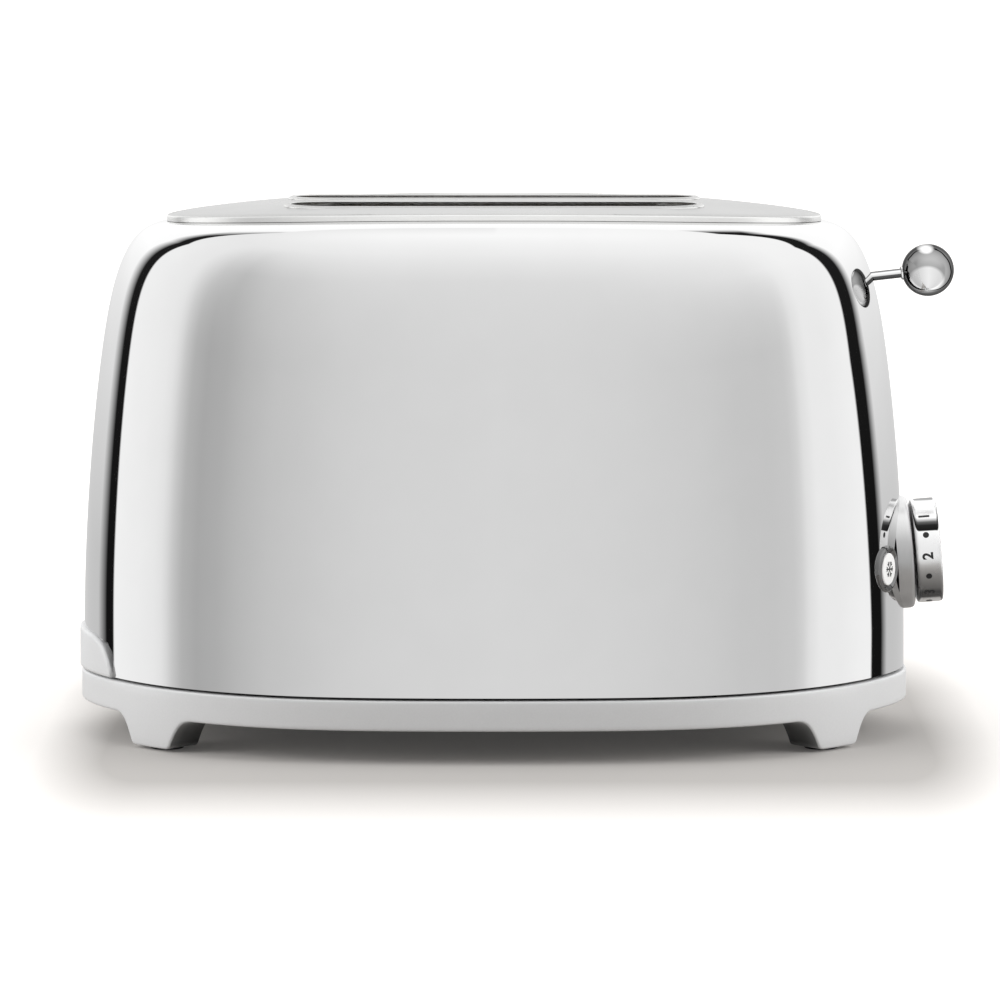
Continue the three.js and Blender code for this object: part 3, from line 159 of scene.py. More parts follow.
def node_group(name, kind, inputs, outputs):
    """A tree with named sockets, the values that it is given, and the node that takes its results."""
    tree = bpy.data.node_groups.new(name, kind)
    for way, sockets in (("INPUT", inputs), ("OUTPUT", outputs)):
        for label, socket in sockets.items():
            tree.interface.new_socket(label, in_out=way, socket_type="NodeSocket" + socket)
    return tree, tree.nodes.new("NodeGroupInput").outputs, tree.nodes.new("NodeGroupOutput")


clouds, given, end = node_group(
    "soft clouds", "ShaderNodeTree", {"Size": "Float", "Low": "Float", "High": "Float"}, {"Value": "Float"}
)
place = add_node(clouds, "ShaderNodeTexCoord").outputs["Object"]
noise = add_node(clouds, "ShaderNodeTexNoise", {"Vector": place, "Scale": given["Size"], "Detail": 3.0})
fill(end, {"Value": level(noise, *NOISE_RANGE, given["Low"], given["High"])})

grain, given, end = node_group(
    "fine grain",
    "ShaderNodeTree",
    {"Stretch": "Vector", "Depth": "Float", "Low": "Float", "High": "Float"},
    {"Normal": "Vector", "Shade": "Float"},
)
place = add_node(grain, "ShaderNodeTexCoord").outputs["Object"]
drawn = add_node(grain, "ShaderNodeVectorMath", {0: place, 1: given["Stretch"]}, operation="MULTIPLY")
noise = add_node(grain, "ShaderNodeTexNoise", {"Vector": drawn, "Scale": 1.0, "Detail": 2.0})
raised = add_node(
    grain, "ShaderNodeBump", {"Strength": given["Depth"], "Distance": GRAIN_HEIGHT, "Height": noise}
)
fill(end, {"Normal": raised, "Shade": level(noise, *NOISE_RANGE, given["Low"], given["High"])})

# %% [markdown]
# Each finish of the toaster is one material. The shell is mirror-polished steel, so nearly all of its look
# comes from what stands round it. The plate is satin steel, the base a silver lacquered moulding, and the
# rest is sheet, wire, mica and plastic as found inside such a toaster. Round polished pieces get painted
# reflections, bands of grey by the way their surface faces, and the knob a painted highlight and dark rim.
# The satin plate's steep rim gets a painted sheen, and the inner sides of the feet a painted shade.

# %% Materials
FLAT_TOP = (0.45, 0.97)
ALONG_X = (60, 2600, 2600)
AROUND_X = (6000, 200, 200)
WOUND = (300, 300, 6000)
LOOKS = {
    "polished_steel": dict(color=0.72, rough=(0.02, 0.03), cloud=9, relief=(60, 0, 0.985)),
    # The satin steel's edge value paints a brighter sheen on its steep rim.
    "satin_steel": dict(
        color=(0.405, 0.405, 0.4), edge=2.25, rough=(0.26, 0.32), cloud=14, relief=(ALONG_X, 0.12, 0.96)
    ),
    "silver_moulding": dict(
        color=(0.7, 0.705, 0.71), metallic=0.25, rough=(0.38, 0.44), cloud=30, relief=(1500, 0.05, 0.97)
    ),
    "rubber": dict(color=(0.028, 0.028, 0.03), metallic=0, rough=(0.75, 0.9), relief=(1800, 0.4, 0.8)),
    "zinc_sheet": dict(color=(0.55, 0.56, 0.57), rough=(0.28, 0.45), cloud=90, relief=(300, 0.06, 0.86)),
    "bright_steel": dict(color=0.66, rough=(0.16, 0.26), cloud=120, relief=(2200, 0.05, 0.92)),
    "mica": dict(
        color=(0.46, 0.37, 0.24), metallic=0.1, rough=(0.35, 0.6), cloud=220, relief=(700, 0.3, 0.7)
    ),
    "resistance_wire": dict(
        color=(0.3, 0.27, 0.25), metallic=0.9, rough=(0.35, 0.5), cloud=300, relief=(900, 0.1, 0.8)
    ),
    "black_plastic": dict(
        color=(0.016, 0.016, 0.018), metallic=0, rough=(0.4, 0.5), cloud=50, relief=(2000, 0.15, 0.85)
    ),
    "white_plastic": dict(
        color=(0.86, 0.86, 0.85), metallic=0, rough=(0.3, 0.36), cloud=50, relief=(2000, 0.03, 0.98)
    ),
    "circuit_board": dict(
        color=(0.02, 0.13, 0.05), metallic=0, rough=(0.3, 0.4), cloud=80, relief=(500, 0.2, 0.6), coat=0.4
    ),
    "copper_winding": dict(color=(0.55, 0.2, 0.08), rough=(0.25, 0.35), cloud=80, relief=(WOUND, 0.6, 0.7)),
    "ink": dict(
        color=(0.006, 0.006, 0.007), metallic=0, rough=(0.4, 0.5), cloud=200, relief=(3000, 0.02, 0.9)
    ),
    "turned_steel": dict(color=0.93, rough=(0.24, 0.3), cloud=40, relief=(AROUND_X, 0.04, 0.97)),
    "brushed_steel": dict(color=0.8, rough=(0.3, 0.36), cloud=40, relief=(AROUND_X, 0.04, 0.96)),
    "rod_chrome": dict(color=0.93, rough=(0.02, 0.03)),
    "ring_chrome": dict(color=0.2, rough=(0.05, 0.1)),
    "ball_chrome": dict(color=0.93, rough=(0.02, 0.03)),
}
# Painted reflections: bands of grey by how far a round piece faces up or down, standing in for what the dial,
# the bezel and the lever arm mirror.
PAINTED_REFLECTION_BANDS = {
    "turned_steel": [
        (-1, 0.5), (-0.97, 1), (-0.88, 0.9), (-0.84, 0.1), (-0.72, 0.12), (-0.64, 0.28), (-0.3, 0.55),
        (-0.05, 0.95), (0.01, 1), (0.46, 1), (0.475, 0.01), (0.57, 0.02), (0.625, 0.12), (0.66, 0.5),
        (0.7, 1), (0.965, 1), (0.985, 0.2), (1, 0.1),
    ],
    "brushed_steel": [(-1, 0.5), (-0.6, 0.75), (-0.1, 0.55), (0.3, 0.65), (0.75, 1), (1, 0.9)],
    "rod_chrome": [
        (-1, 0.04), (-0.9, 0.04), (-0.75, 0.07), (-0.1, 0.13), (0.02, 0.95), (0.6, 1), (0.75, 0.3), (1, 0.06),
    ],
}
BALL_EDGE_TINT = (0.55, 0.55, 0.55, 1)
# Painted reflection on the knob ball: a darker rim, a bright sheet and a small highlight.
BALL_PAINTED_DARK_RIM = (0.3, 0.88, 0.05, 0.5)
BALL_PAINTED_REFLECTION = dict(middle=(-0.08, -0.28), scale=(1.35, 1.72), edge=1.1, full=0.55)
BALL_PAINTED_HIGHLIGHT = dict(middle=(-0.12, 0.83), scale=(1.0, 1.6), edge=0.13, full=0.015)
# Painted shade on the inner sides of the feet, below the band.
FOOT_SHADE = (-0.75, -0.2, 0.1, 1)
FOOT_SHADE_TOP = (0.0115, 0.015)
MIDDLE_STRIP = (-0.02, 0.002)


def finish(name, color, rough, cloud=60, relief=(200, 0, 0.985), metallic=1, coat=0, edge=1):
    """A material with clouded roughness. The stretch, depth and shade of its grain are its relief.

    Its steep edges can get a painted sheen: a brighter colour than its flat top, standing in for reflected
    light.
    """
    material = bpy.data.materials.new(name)
    material.use_nodes = True
    tree = material.node_tree
    low, high = rough
    stretch, depth, shade = relief
    uneven = add_node(tree, "ShaderNodeGroup", {"Size": cloud, "Low": low, "High": high}, node_tree=clouds)
    stretches = {"Stretch": np.ones(3) * stretch, "Depth": depth, "Low": shade, "High": 1}
    fine = add_node(tree, "ShaderNodeGroup", stretches, node_tree=grain)
    # Painted sheen: steep faces get a brighter colour by the edge factor.
    painted_sheen = level(parts_of(tree, "ShaderNodeNewGeometry", "Normal")["Z"], *FLAT_TOP, edge, 1)
    tone = maths(fine.outputs["Shade"], "MULTIPLY", painted_sheen)
    tint = add_node(tree, "ShaderNodeVectorMath", {0: np.ones(3) * color, "Scale": tone}, operation="SCALE")
    shader = tree.nodes["Principled BSDF"]
    fill(shader, {"Metallic": metallic, "Coat Weight": coat, "Roughness": uneven, "Base Color": tint})
    if depth:
        fill(shader, {"Normal": fine.outputs["Normal"]})
    return material


def toned(name, value):
    """Multiplies the colour of a finish by one more value; it paints reflections, highlights and shade."""
    tree = finishes[name].node_tree
    tint = next(node for node in tree.nodes if node.bl_idname == "ShaderNodeVectorMath")
    before = tint.inputs["Scale"].links[0].from_socket
    fill(tint, {"Scale": maths(before, "MULTIPLY", value)})


def facing_parts(name):
    return parts_of(finishes[name].node_tree, "ShaderNodeNewGeometry", "Normal")


def oval(facing, middle, scale, edge, full):
    """A painted bright patch of reflection on a ball, round one direction that its surface faces."""
    squares = []
    for axis, start, factor in zip("XZ", middle, scale):
        off = maths(maths(facing[axis], "SUBTRACT", start), "MULTIPLY", factor)
        squares.append(maths(off, "POWER", 2.0))
    return level(maths(squares[1], "ADD", squares[0]), edge, full)


finishes = {name: finish(name.replace("_", " "), **look) for name, look in LOOKS.items()}
# Paints the reflection bands into the colours of the dial, the bezel and the lever arm.
for name, reflection_bands in PAINTED_REFLECTION_BANDS.items():
    toned(name, greys(facing_parts(name)["Z"], reflection_bands, -1, 1))

# Painted reflection on the knob: a dark rim and bright patches for the light it mirrors.
facing_ball = facing_parts("ball_chrome")
bright = maths(oval(facing_ball, **BALL_PAINTED_REFLECTION), "MAXIMUM", oval(facing_ball, **BALL_PAINTED_HIGHLIGHT))
rim = level(maths(facing_ball["Y"], "ABSOLUTE"), *BALL_PAINTED_DARK_RIM)
toned("ball_chrome", maths(rim, "MAXIMUM", bright))
fill(finishes["ball_chrome"].node_tree.nodes["Principled BSDF"], {"Specular Tint": BALL_EDGE_TINT})

# Painted shade: the inner sides of the feet, low down, get a darker colour.
place = parts_of(finishes["silver_moulding"].node_tree, "ShaderNodeTexCoord", "Object")
side = level(place["X"], *MIDDLE_STRIP, -1, 1)
painted_foot_shade = level(maths(facing_parts("silver_moulding")["X"], "MULTIPLY", side), *FOOT_SHADE)
toned("silver_moulding", maths(painted_foot_shade, "MAXIMUM", level(place["Z"], *FOOT_SHADE_TOP)))

for entry in frame["record"]["subparts"]:
    node = frame["nodes"][entry["node"]]
    node.data.materials.clear()
    node.data.materials.append(finishes[entry["material_slot"]])
print("finishes:", len(finishes))

# %% [markdown]
# The body is one smooth form. Its plan and its side are cubic B-splines with a few control values, nearly the
# same ones as in the solid model. A spline of this kind has no kink in its curvature, and a mirror shows
# every kink.

# %% Curves of the body
PLAN_SHARES = np.array([[1.016, 0], [0.968, 0.31], [0.794, 0.7], [0.503, 0.964], [0.168, 1.002]])
END_REACH_SHARES = [1, 1, 0.982, 0.953, 0.92, 0.865, 0.794, 0.732]
FRONT_REACH_SHARES = [1, 1, 0.977, 0.94, 0.892, 0.8, 0.686, 0.588]
HEIGHT_SHARES = [0, 0.208, 0.481, 0.7235, 0.887, 0.982, 1, 0.998]
SIDE_SHARES = np.array([END_REACH_SHARES, FRONT_REACH_SHARES, HEIGHT_SHARES]).T
SHELL_HALF_LENGTH = 154.3
SHELL_HALF_DEPTH = 97
SHELL_FOOT = 24.35
SHELL_RISE = 167.5
SHELL_WALL = 1.4
CROWN_ARCH = 4
ARCH_POWER = 2.6

rear_half = np.vstack([PLAN_SHARES, (PLAN_SHARES[1:] * [-1, 1])[::-1]])
plan_controls = np.vstack([rear_half, -rear_half])


def spline(padded, i, t):
    """The B-spline span that starts at control value i, with one more value before it and two behind."""
    t = t[..., None]
    s = 1 - t
    near = 3 * t**3 - 6 * t**2 + 4
    far = 3 * s**3 - 6 * s**2 + 4
    return (s**3 * padded[i] + near * padded[i + 1] + far * padded[i + 2] + t**3 * padded[i + 3]) / 6


def plan_at(t):
    count = len(plan_controls)
    t = np.asarray(t, float) % count
    padded = np.vstack([plan_controls[-1:], plan_controls, plan_controls[:2]])
    i = np.minimum(t.astype(int), count - 1)
    return spline(padded, i, t - i)


def side_at(u):
    u = np.asarray(u, float)
    first = 2 * SIDE_SHARES[:1] - SIDE_SHARES[1:2]
    final = 2 * SIDE_SHARES[-1:] - SIDE_SHARES[-2:-1]
    padded = np.vstack([first, SIDE_SHARES, final])
    i = np.clip(u.astype(int), 0, len(SIDE_SHARES) - 2)
    return spline(padded, i, u - i)


def shell_points(u, t, inset=0.0):
    """Points of the body's skin, a row for each height u and a column for each place t along the plan."""
    plan = plan_at(t)[None]
    side = side_at(u)[:, None]
    x = plan[..., 0] * (side[..., 0] * SHELL_HALF_LENGTH - inset) + MIDDLE_X
    y = plan[..., 1] * (side[..., 1] * SHELL_HALF_DEPTH - inset)
    arch = CROWN_ARCH * (1 - np.abs(plan[..., 0]) ** ARCH_POWER)
    z = SHELL_FOOT + side[..., 2] * (SHELL_RISE + arch - inset)
    return np.stack([x, y, z + 0 * x], -1)


# %% [markdown]
# Most pieces are a net of points in rows and columns. One helper closes such a net into a mesh, others turn
# a profile about an axis, soften its corners, and cut or join two meshes.

# %% Helpers for meshes
def net(rows, closed_rows=True, closed_columns=True, caps=False):
    """The points and faces of a net. Caps close its first and its last row."""
    rows = np.asarray(rows, float)
    count, width, _ = rows.shape
    i, j = np.meshgrid(
        np.arange(count if closed_rows else count - 1),
        np.arange(width if closed_columns else width - 1),
        indexing="ij",
    )
    above = (i + 1) % count
    beside = (j + 1) % width
    corners = [i * width + j, i * width + beside, above * width + beside, above * width + j]
    faces = np.stack(corners, -1).reshape(-1, 4).tolist()
    if caps:
        last = (count - 1) * width
        faces += [list(range(width))[::-1], list(range(last, last + width))]
    return rows.reshape(-1, 3), faces


def soften_shading(obj, crease):
    obj.data.shade_smooth()
    obj.data.set_sharp_from_angle(angle=math.radians(crease))


def piece(name, points, faces, material, crease=35, merge=0.0001):
    """A mesh object in metres from points in millimetres, with its normals outwards and its edges creased."""
    mesh = bpy.data.meshes.new(name)
    mesh.from_pydata((np.asarray(points) * MM).tolist(), [], faces)
    work = bmesh.new()
    work.from_mesh(mesh)
    if merge:
        bmesh.ops.remove_doubles(work, verts=work.verts, dist=merge * MM)
        bmesh.ops.dissolve_degenerate(work, edges=work.edges, dist=merge * MM)
    bmesh.ops.recalc_face_normals(work, faces=work.faces)
    work.to_mesh(mesh)
    work.free()
    obj = add_object(name, mesh)
    if material:
        mesh.materials.append(material)
    soften_shading(obj, crease)
    return obj


def plain_mesh(obj):
    """The mesh that an object has with its modifiers applied."""
    graph = bpy.context.evaluated_depsgraph_get()
    return bpy.data.meshes.new_from_object(obj.evaluated_get(graph))


def combine(obj, other, operation, crease=35):
    change = obj.modifiers.new("combine", "BOOLEAN")
    change.operation = operation
    change.solver = "MANIFOLD"
    change.object = other
    mesh = plain_mesh(obj)
    obj.modifiers.clear()
    obj.data = mesh
    bpy.data.objects.remove(other)
    soften_shading(obj, crease)


def softened(profile, radius, steps=4):
    """Rounds every inner corner of a profile of points by an arc-like curve."""
    points = [np.array(p, float) for p in profile]
    result = [points[0]]
    for before, corner, after in zip(points, points[1:], points[2:]):
        to_before = before - corner
        to_after = after - corner
        reach = min(radius, np.linalg.norm(to_before) / 2, np.linalg.norm(to_after) / 2)
        first = corner + to_before / np.linalg.norm(to_before) * reach
        last = corner + to_after / np.linalg.norm(to_after) * reach
        for k in range(steps + 1):
            t = k / steps
            result.append((1 - t) ** 2 * first + 2 * t * (1 - t) * corner + t**2 * last)
    result.append(points[-1])
    return result


def turned(name, profile, sides, place, material, closed=False, crease=35):
    """A piece turned about an axis, from points of radius and height that run up its outside."""
    angle = np.linspace(0, 2 * math.pi, sides, endpoint=False)
    rows = [[(r * math.cos(a), r * math.sin(a), z) for a in angle] for r, z in profile]
    obj = piece(name, *net(rows, closed_rows=closed), material, crease, merge=0.001)
    obj.data.transform(place)
    return obj


def facing(point, direction):
    """The place of a piece whose own Z looks along a direction, from a point in millimetres."""
    turn = Vector((0, 0, 1)).rotation_difference(Vector(direction)).to_matrix().to_4x4()
    return Matrix.Translation(Vector(point) * MM) @ turn


def prism(name, outline, low, high):
    """A closed bar along X with an outline of points."""
    rows = [[(x, y, z) for y, z in outline] for x in (low, high)]
    return piece(name, *net(rows, closed_rows=False, caps=True), None, merge=0)


# %% [markdown]
# The shell is a drawn cover with an even wall. Its outside and its inside are the same net at two insets,
# joined at the foot and at the crown, where the top plate covers the opening. Rows stand closer on the
# shoulder.

# %% Outer shell
LEVER_SLOT_HALF_WIDTH = 2.6
LEVER_SLOT = (92.5, 178)
LEVER_CUT = (100, 170)
DIAL_Z = 66.4
DIAL_TILT = math.radians(4.8)
BEZEL_HOLE = 12.3
BEZEL_CUT = 14
BUTTON_Y = 30.3
BUTTON_Z = 63.5
BUTTON_HOLE = 7.65
BUTTON_CUT = 9
TRAY_MOUTH = [(-40, 20), (40, 20), (40, 33), (36, 37), (-36, 37), (-40, 33)]
TRAY_CUT = (-175, -120)
SPAN_COLUMNS = 16

outer_heights = np.concatenate([np.linspace(0, 3, 25), np.linspace(3, 6, 76)[1:], np.linspace(6, 7, 9)[1:]])
inner_heights = np.array([7, 6.5, 6, 5.5, 5, 4.5, 4, 3, 2, 1, 0])
around = np.arange(0, len(plan_controls), 1 / SPAN_COLUMNS)
outside = shell_points(outer_heights, around)
inside = shell_points(inner_heights, around, SHELL_WALL)
inside[-1, :, 2] = SHELL_FOOT
shell = piece("shell", *net(np.concatenate([outside, inside])), finishes["polished_steel"])


def end_point(z, y):
    """The body's half length and outward direction at a height and a distance from the middle."""
    u = np.linspace(0, 5, 2001)
    rise = side_at(u)[:, 2] * SHELL_RISE
    side = side_at(np.interp(np.asarray(z) - SHELL_FOOT, rise, u))
    half_length = side[..., 0] * SHELL_HALF_LENGTH
    half_depth = side[..., 1] * SHELL_HALF_DEPTH
    t = np.linspace(0, 4, 2001)
    place = np.interp(np.abs(y) / half_depth, plan_at(t)[:, 1], t)
    here = plan_at(place)
    step = plan_at(place + 0.02)
    along_x = (step[..., 0] - here[..., 0]) * half_length
    along_y = (step[..., 1] - here[..., 1]) * half_depth
    length = np.hypot(along_x, along_y)
    return here[..., 0] * half_length, along_y / length, -along_x / length


def rounded_slot(half_width, low, high, steps=10):
    """The outline of an upright slot with round ends."""
    arc = np.linspace(0, math.pi, steps + 1)
    top = [(half_width * math.cos(a), high - half_width + half_width * math.sin(a)) for a in arc]
    foot = [(-half_width * math.cos(a), low + half_width - half_width * math.sin(a)) for a in arc]
    return top + foot


def drill(name, radius, reach, sides, place):
    """Cuts a round hole through the shell."""
    hole = [(0, -reach), (radius, -reach), (radius, reach), (0, reach)]
    combine(shell, turned(name, hole, sides, place, None), "DIFFERENCE")


dial_reach, _, _ = end_point(DIAL_Z, 0.0)
DIAL_SEAT = (MIDDLE_X + float(dial_reach), 0, DIAL_Z)
dial_place = facing(DIAL_SEAT, (math.cos(DIAL_TILT), 0, math.sin(DIAL_TILT)))
button_places = {}
for side_name, side in (("front", -1), ("rear", 1)):
    reach, out_x, out_y = (float(value) for value in end_point(BUTTON_Z, BUTTON_Y))
    seat = (MIDDLE_X + reach, side * BUTTON_Y, BUTTON_Z)
    button_places[side_name] = facing(seat, (out_x, side * out_y, 0))

lever_slot = prism("lever slot", rounded_slot(LEVER_SLOT_HALF_WIDTH, *LEVER_SLOT), *LEVER_CUT)
combine(shell, lever_slot, "DIFFERENCE")
drill("bezel hole", BEZEL_HOLE, BEZEL_CUT, 48, dial_place)
for place in button_places.values():
    drill("button hole", BUTTON_HOLE, BUTTON_CUT, 40, place)
combine(shell, prism("tray mouth", TRAY_MOUTH, *TRAY_CUT), "DIFFERENCE", crease=40)
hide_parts("outer_shell")
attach(shell, "housing")
print("shell faces:", len(shell.data.polygons))

# %% [markdown]
# The top plate is an arched satin sheet with a rounded rim. Its middle round the slots is nearly flat, and
# its ends fall off softly. Round each slot the metal is drawn up into a lip and rolled over into the
# opening. The lip is a short profile that follows the slot's outline at growing distances.

# %% Top plate
PLATE_HALF_LENGTH = 122.4
PLATE_HALF_DEPTH = 66.3
PLATE_BOTTOM = 191.45
PLATE_TOP = 193.75
PLATE_DOME = 2.3
DOME_POWER = 3
PLATE_FLAT = 5.2
FLAT_SHARPNESS = 3
PLATE_SEAT = 6.05
SEAT_GAP = 0.1
RIM_RADIUS = 0.7
RIM_GROOVE = ((1.3, 0), (1.7, 0.12), (2.0, 0.3), (2.8, 0.3), (3.4, 0.0))
UNDERSIDE_SHARES = (0.02, 0.3, 0.6, 0.9, 0.97)
TOP_SHARES = (0.94, 0.9, 0.85, 0.8, 0.7, 0.6, 0.4, 0.2, 0.02)
SLOT_HALF_LENGTH = 77
SLOT_HALF_WIDTH = 14.5
SLOT_OFFSET = 22.7
SLOT_CUT = (PLATE_BOTTOM - 14, PLATE_TOP + 8)
SLOT_CLEARANCE = 0.5
LIP_OUTSIDE = [(0.9, -1.9), (0.9, -0.3), (0.1, 0.1), (-0.3, 0.35)]
LIP_INSIDE = [(-1.2, 0.35), (-1.6, 0.1), (-1.6, -0.2), (0.2, -1.9)]
LIP_ROUND = 0.3


def plate_row(t, share, z, inset=0.0):
    """A row round the plate at a share of its size, raised by the arch along its length."""
    plan = plan_at(t)
    x = plan[:, 0] * (PLATE_HALF_LENGTH * share - inset)
    y = plan[:, 1] * (PLATE_HALF_DEPTH * share - inset)
    arch = CROWN_ARCH * (1 - (np.abs(x) / PLATE_HALF_LENGTH) ** ARCH_POWER)
    return np.stack([x + MIDDLE_X, y, z + arch], -1)


def slots_rise(y):
    """The rise of the flat middle round the slots, a little less towards the front and the back."""
    return PLATE_FLAT - PLATE_DOME * (np.abs(y) / PLATE_HALF_DEPTH) ** DOME_POWER


def flattened(rise, y):
    """The plate's rise over its ends, which runs out softly into the flat middle."""
    return -np.logaddexp(-FLAT_SHARPNESS * rise, -FLAT_SHARPNESS * slots_rise(y)) / FLAT_SHARPNESS


def slot_outline(grow, side, z, steps=24, along=40):
    """The outline of a bread slot at a distance from its edge, with points along its straight sides."""
    radius = SLOT_HALF_WIDTH + grow
    straight = SLOT_HALF_LENGTH - SLOT_HALF_WIDTH
    points = []
    for end_side in (1, -1):
        for k in range(steps + 1):
            a = -end_side * math.pi / 2 + math.pi * k / steps
            points.append((end_side * straight + radius * math.cos(a), radius * math.sin(a)))
        for k in range(1, along):
            points.append((end_side * straight * (1 - 2 * k / along), end_side * radius))
    points = np.array(points) + [MIDDLE_X, side * SLOT_OFFSET]
    return np.column_stack([points, z + slots_rise(points[:, 1])])


skirt = plate_row(around, 1, PLATE_BOTTOM)
skirt[:, 2] = shell_points([PLATE_SEAT], around)[0, :, 2] + SEAT_GAP
rows = [plate_row(around, share, PLATE_BOTTOM) for share in UNDERSIDE_SHARES] + [skirt]
for a in np.radians([0, 22, 45, 67, 90]):
    drop = RIM_RADIUS * (1 - math.sin(a))
    rows.append(plate_row(around, 1, PLATE_TOP - drop, RIM_RADIUS * (1 - math.cos(a))))
for inset, drop in RIM_GROOVE:
    rows.append(plate_row(around, 1, PLATE_TOP - drop, inset))
for share in TOP_SHARES:
    row = plate_row(around, share, PLATE_DOME * (1 - share**DOME_POWER))
    row[:, 2] = PLATE_TOP + flattened(row[:, 2], row[:, 1])
    rows.append(row)
plate = piece("plate", *net(rows, closed_rows=False, caps=True), finishes["satin_steel"])
lip_profile = softened(LIP_OUTSIDE + LIP_INSIDE, LIP_ROUND, 3)
for side in (-1, 1):
    through = [slot_outline(SLOT_CLEARANCE, side, z) for z in SLOT_CUT]
    cutter = piece("slot cutter", *net(through, closed_rows=False, caps=True), None)
    combine(plate, cutter, "DIFFERENCE")
    lip = net([slot_outline(grow, side, z + PLATE_TOP) for grow, z in lip_profile])
    combine(plate, piece("lip", *lip, finishes["satin_steel"]), "UNION", crease=50)
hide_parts("top_plate")
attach(plate, "housing")
print("plate faces:", len(plate.data.polygons))

# %% [markdown]
# The base is one moulding: a band with soft edges whose lower edge runs down round four feet. Its outside
# is a net between that edge and the band's top. Each column starts on the outline of a foot, or on the
# band's straight edge.

# %% Base ring and feet
RING_HALF_LENGTH = 155.3
RING_HALF_DEPTH = 97.6
RING_BOTTOM = 12.2
RING_TOP = 23.35
RING_WALL = 4.5
RING_EDGE = 0.9
FLOOR_UNDER = 15.2
FLOOR_TOP = 17.6
FOOT_PLACE = 1.8
FOOT_HALF_WIDTH = 10.5
FOOT_FLARE = 11
FLARE_BEND = 0.72
FOOT_DEPTH = 15.6
FOOT_BLEND = 7
FOOT_CORNER = 2.4
FOOT_BOTTOM = 1
COLUMN_STEP = 3
HATCH_HALF = (84, 29)
FACE_SHARES = (0, 0.12, 0.3, 0.5, 0.7, 0.85, 1)

fine_t = np.linspace(0, len(plan_controls), 7201)
ring_line = plan_at(fine_t) * [RING_HALF_LENGTH, RING_HALF_DEPTH]
ring_length = np.concatenate([[0], np.cumsum(np.hypot(*np.diff(ring_line, axis=0).T))])
perimeter = ring_length[-1]


def on_ring(s, depth, z):
    """Points at a distance along the ring, a depth inwards from its face, and a height."""
    s = np.asarray(s, float) % perimeter
    t = np.interp(s, ring_length, fine_t)
    halves = [RING_HALF_LENGTH, RING_HALF_DEPTH]
    here, ahead, behind = (plan_at(t + step) * halves for step in (0, 0.01, -0.01))
    along = ahead - behind
    along /= np.linalg.norm(along, axis=-1, keepdims=True)
    inward = np.stack([-along[..., 1], along[..., 0]], -1)
    xy = here + inward * np.asarray(depth, float)[..., None] + [MIDDLE_X, 0]
    return np.concatenate([xy, np.broadcast_to(z, xy.shape[:-1])[..., None]], -1)


def bezier(points, count):
    t = np.linspace(0, 1, count)[:, None]
    levels = [np.array([point], float) for point in points]
    while len(levels) > 1:
        levels = [a + (b - a) * t for a, b in zip(levels, levels[1:])]
    return levels[0]


shank = FOOT_HALF_WIDTH + FOOT_CORNER / 3
reach = FOOT_HALF_WIDTH + FOOT_FLARE
ankle = (-shank, FOOT_BOTTOM + FOOT_CORNER)
flare = [
    (-reach, RING_BOTTOM),
    (-FOOT_HALF_WIDTH - FOOT_FLARE / 2, RING_BOTTOM),
    (-FOOT_HALF_WIDTH - FOOT_FLARE / 3, RING_BOTTOM * FLARE_BEND),
    ankle,
]
toe = [ankle, (-FOOT_HALF_WIDTH, FOOT_BOTTOM), (-FOOT_HALF_WIDTH + FOOT_CORNER, FOOT_BOTTOM)]
left_half = np.vstack([bezier(flare, 20), bezier(toe, 8)[1:]])
sole_end = FOOT_HALF_WIDTH - FOOT_CORNER
sole = np.column_stack([np.linspace(-sole_end, sole_end, 7)[1:-1], np.full(5, float(FOOT_BOTTOM))])
foot_outline = np.vstack([left_half, sole, (left_half * [-1, 1])[::-1]])
walked = np.concatenate([[0], np.cumsum(np.hypot(*np.diff(foot_outline, axis=0).T))])
foot_top = -reach + 2 * reach * walked / walked[-1]

left_end = len(plan_controls) / 2
foot_places = (FOOT_PLACE, left_end - FOOT_PLACE, left_end + FOOT_PLACE, 2 * left_end - FOOT_PLACE)
foot_middles = [float(np.interp(t, fine_t, ring_length)) for t in foot_places]
columns = []
for middle, following in zip(foot_middles, foot_middles[1:] + [foot_middles[0] + perimeter]):
    rise = np.clip((reach - np.abs(foot_outline[:, 0])) / FOOT_BLEND, 0, 1)
    depth = RING_WALL + (FOOT_DEPTH - RING_WALL) * rise * rise * (3 - 2 * rise)
    columns.append(np.stack([middle + foot_top, middle + foot_outline[:, 0], foot_outline[:, 1], depth]))
    count = int((following - middle - 2 * reach) / COLUMN_STEP)
    plain = np.linspace(middle + reach, following - reach, count + 2)[1:-1]
    columns.append(np.stack([plain, plain, np.full(count, RING_BOTTOM), np.full(count, RING_WALL)]))
top_s, edge_s, edge_z, depths = np.concatenate(columns, axis=1)

run = np.stack([np.roll(edge_s, -1) - np.roll(edge_s, 1), np.roll(edge_z, -1) - np.roll(edge_z, 1)], -1)
run[0, 0] += perimeter
run[-1, 0] += perimeter
run /= np.linalg.norm(run, axis=1, keepdims=True)
lift_s, lift_z = -run[:, 1], run[:, 0]


def edge_row(a):
    """A row of the rounding on the lower edge: from the face at 0 to the underside at a right angle."""
    off = RING_EDGE * (1 - math.sin(a))
    inward = np.full(len(edge_s), RING_EDGE * (1 - math.cos(a)))
    return edge_s + lift_s * off, inward, edge_z + lift_z * off


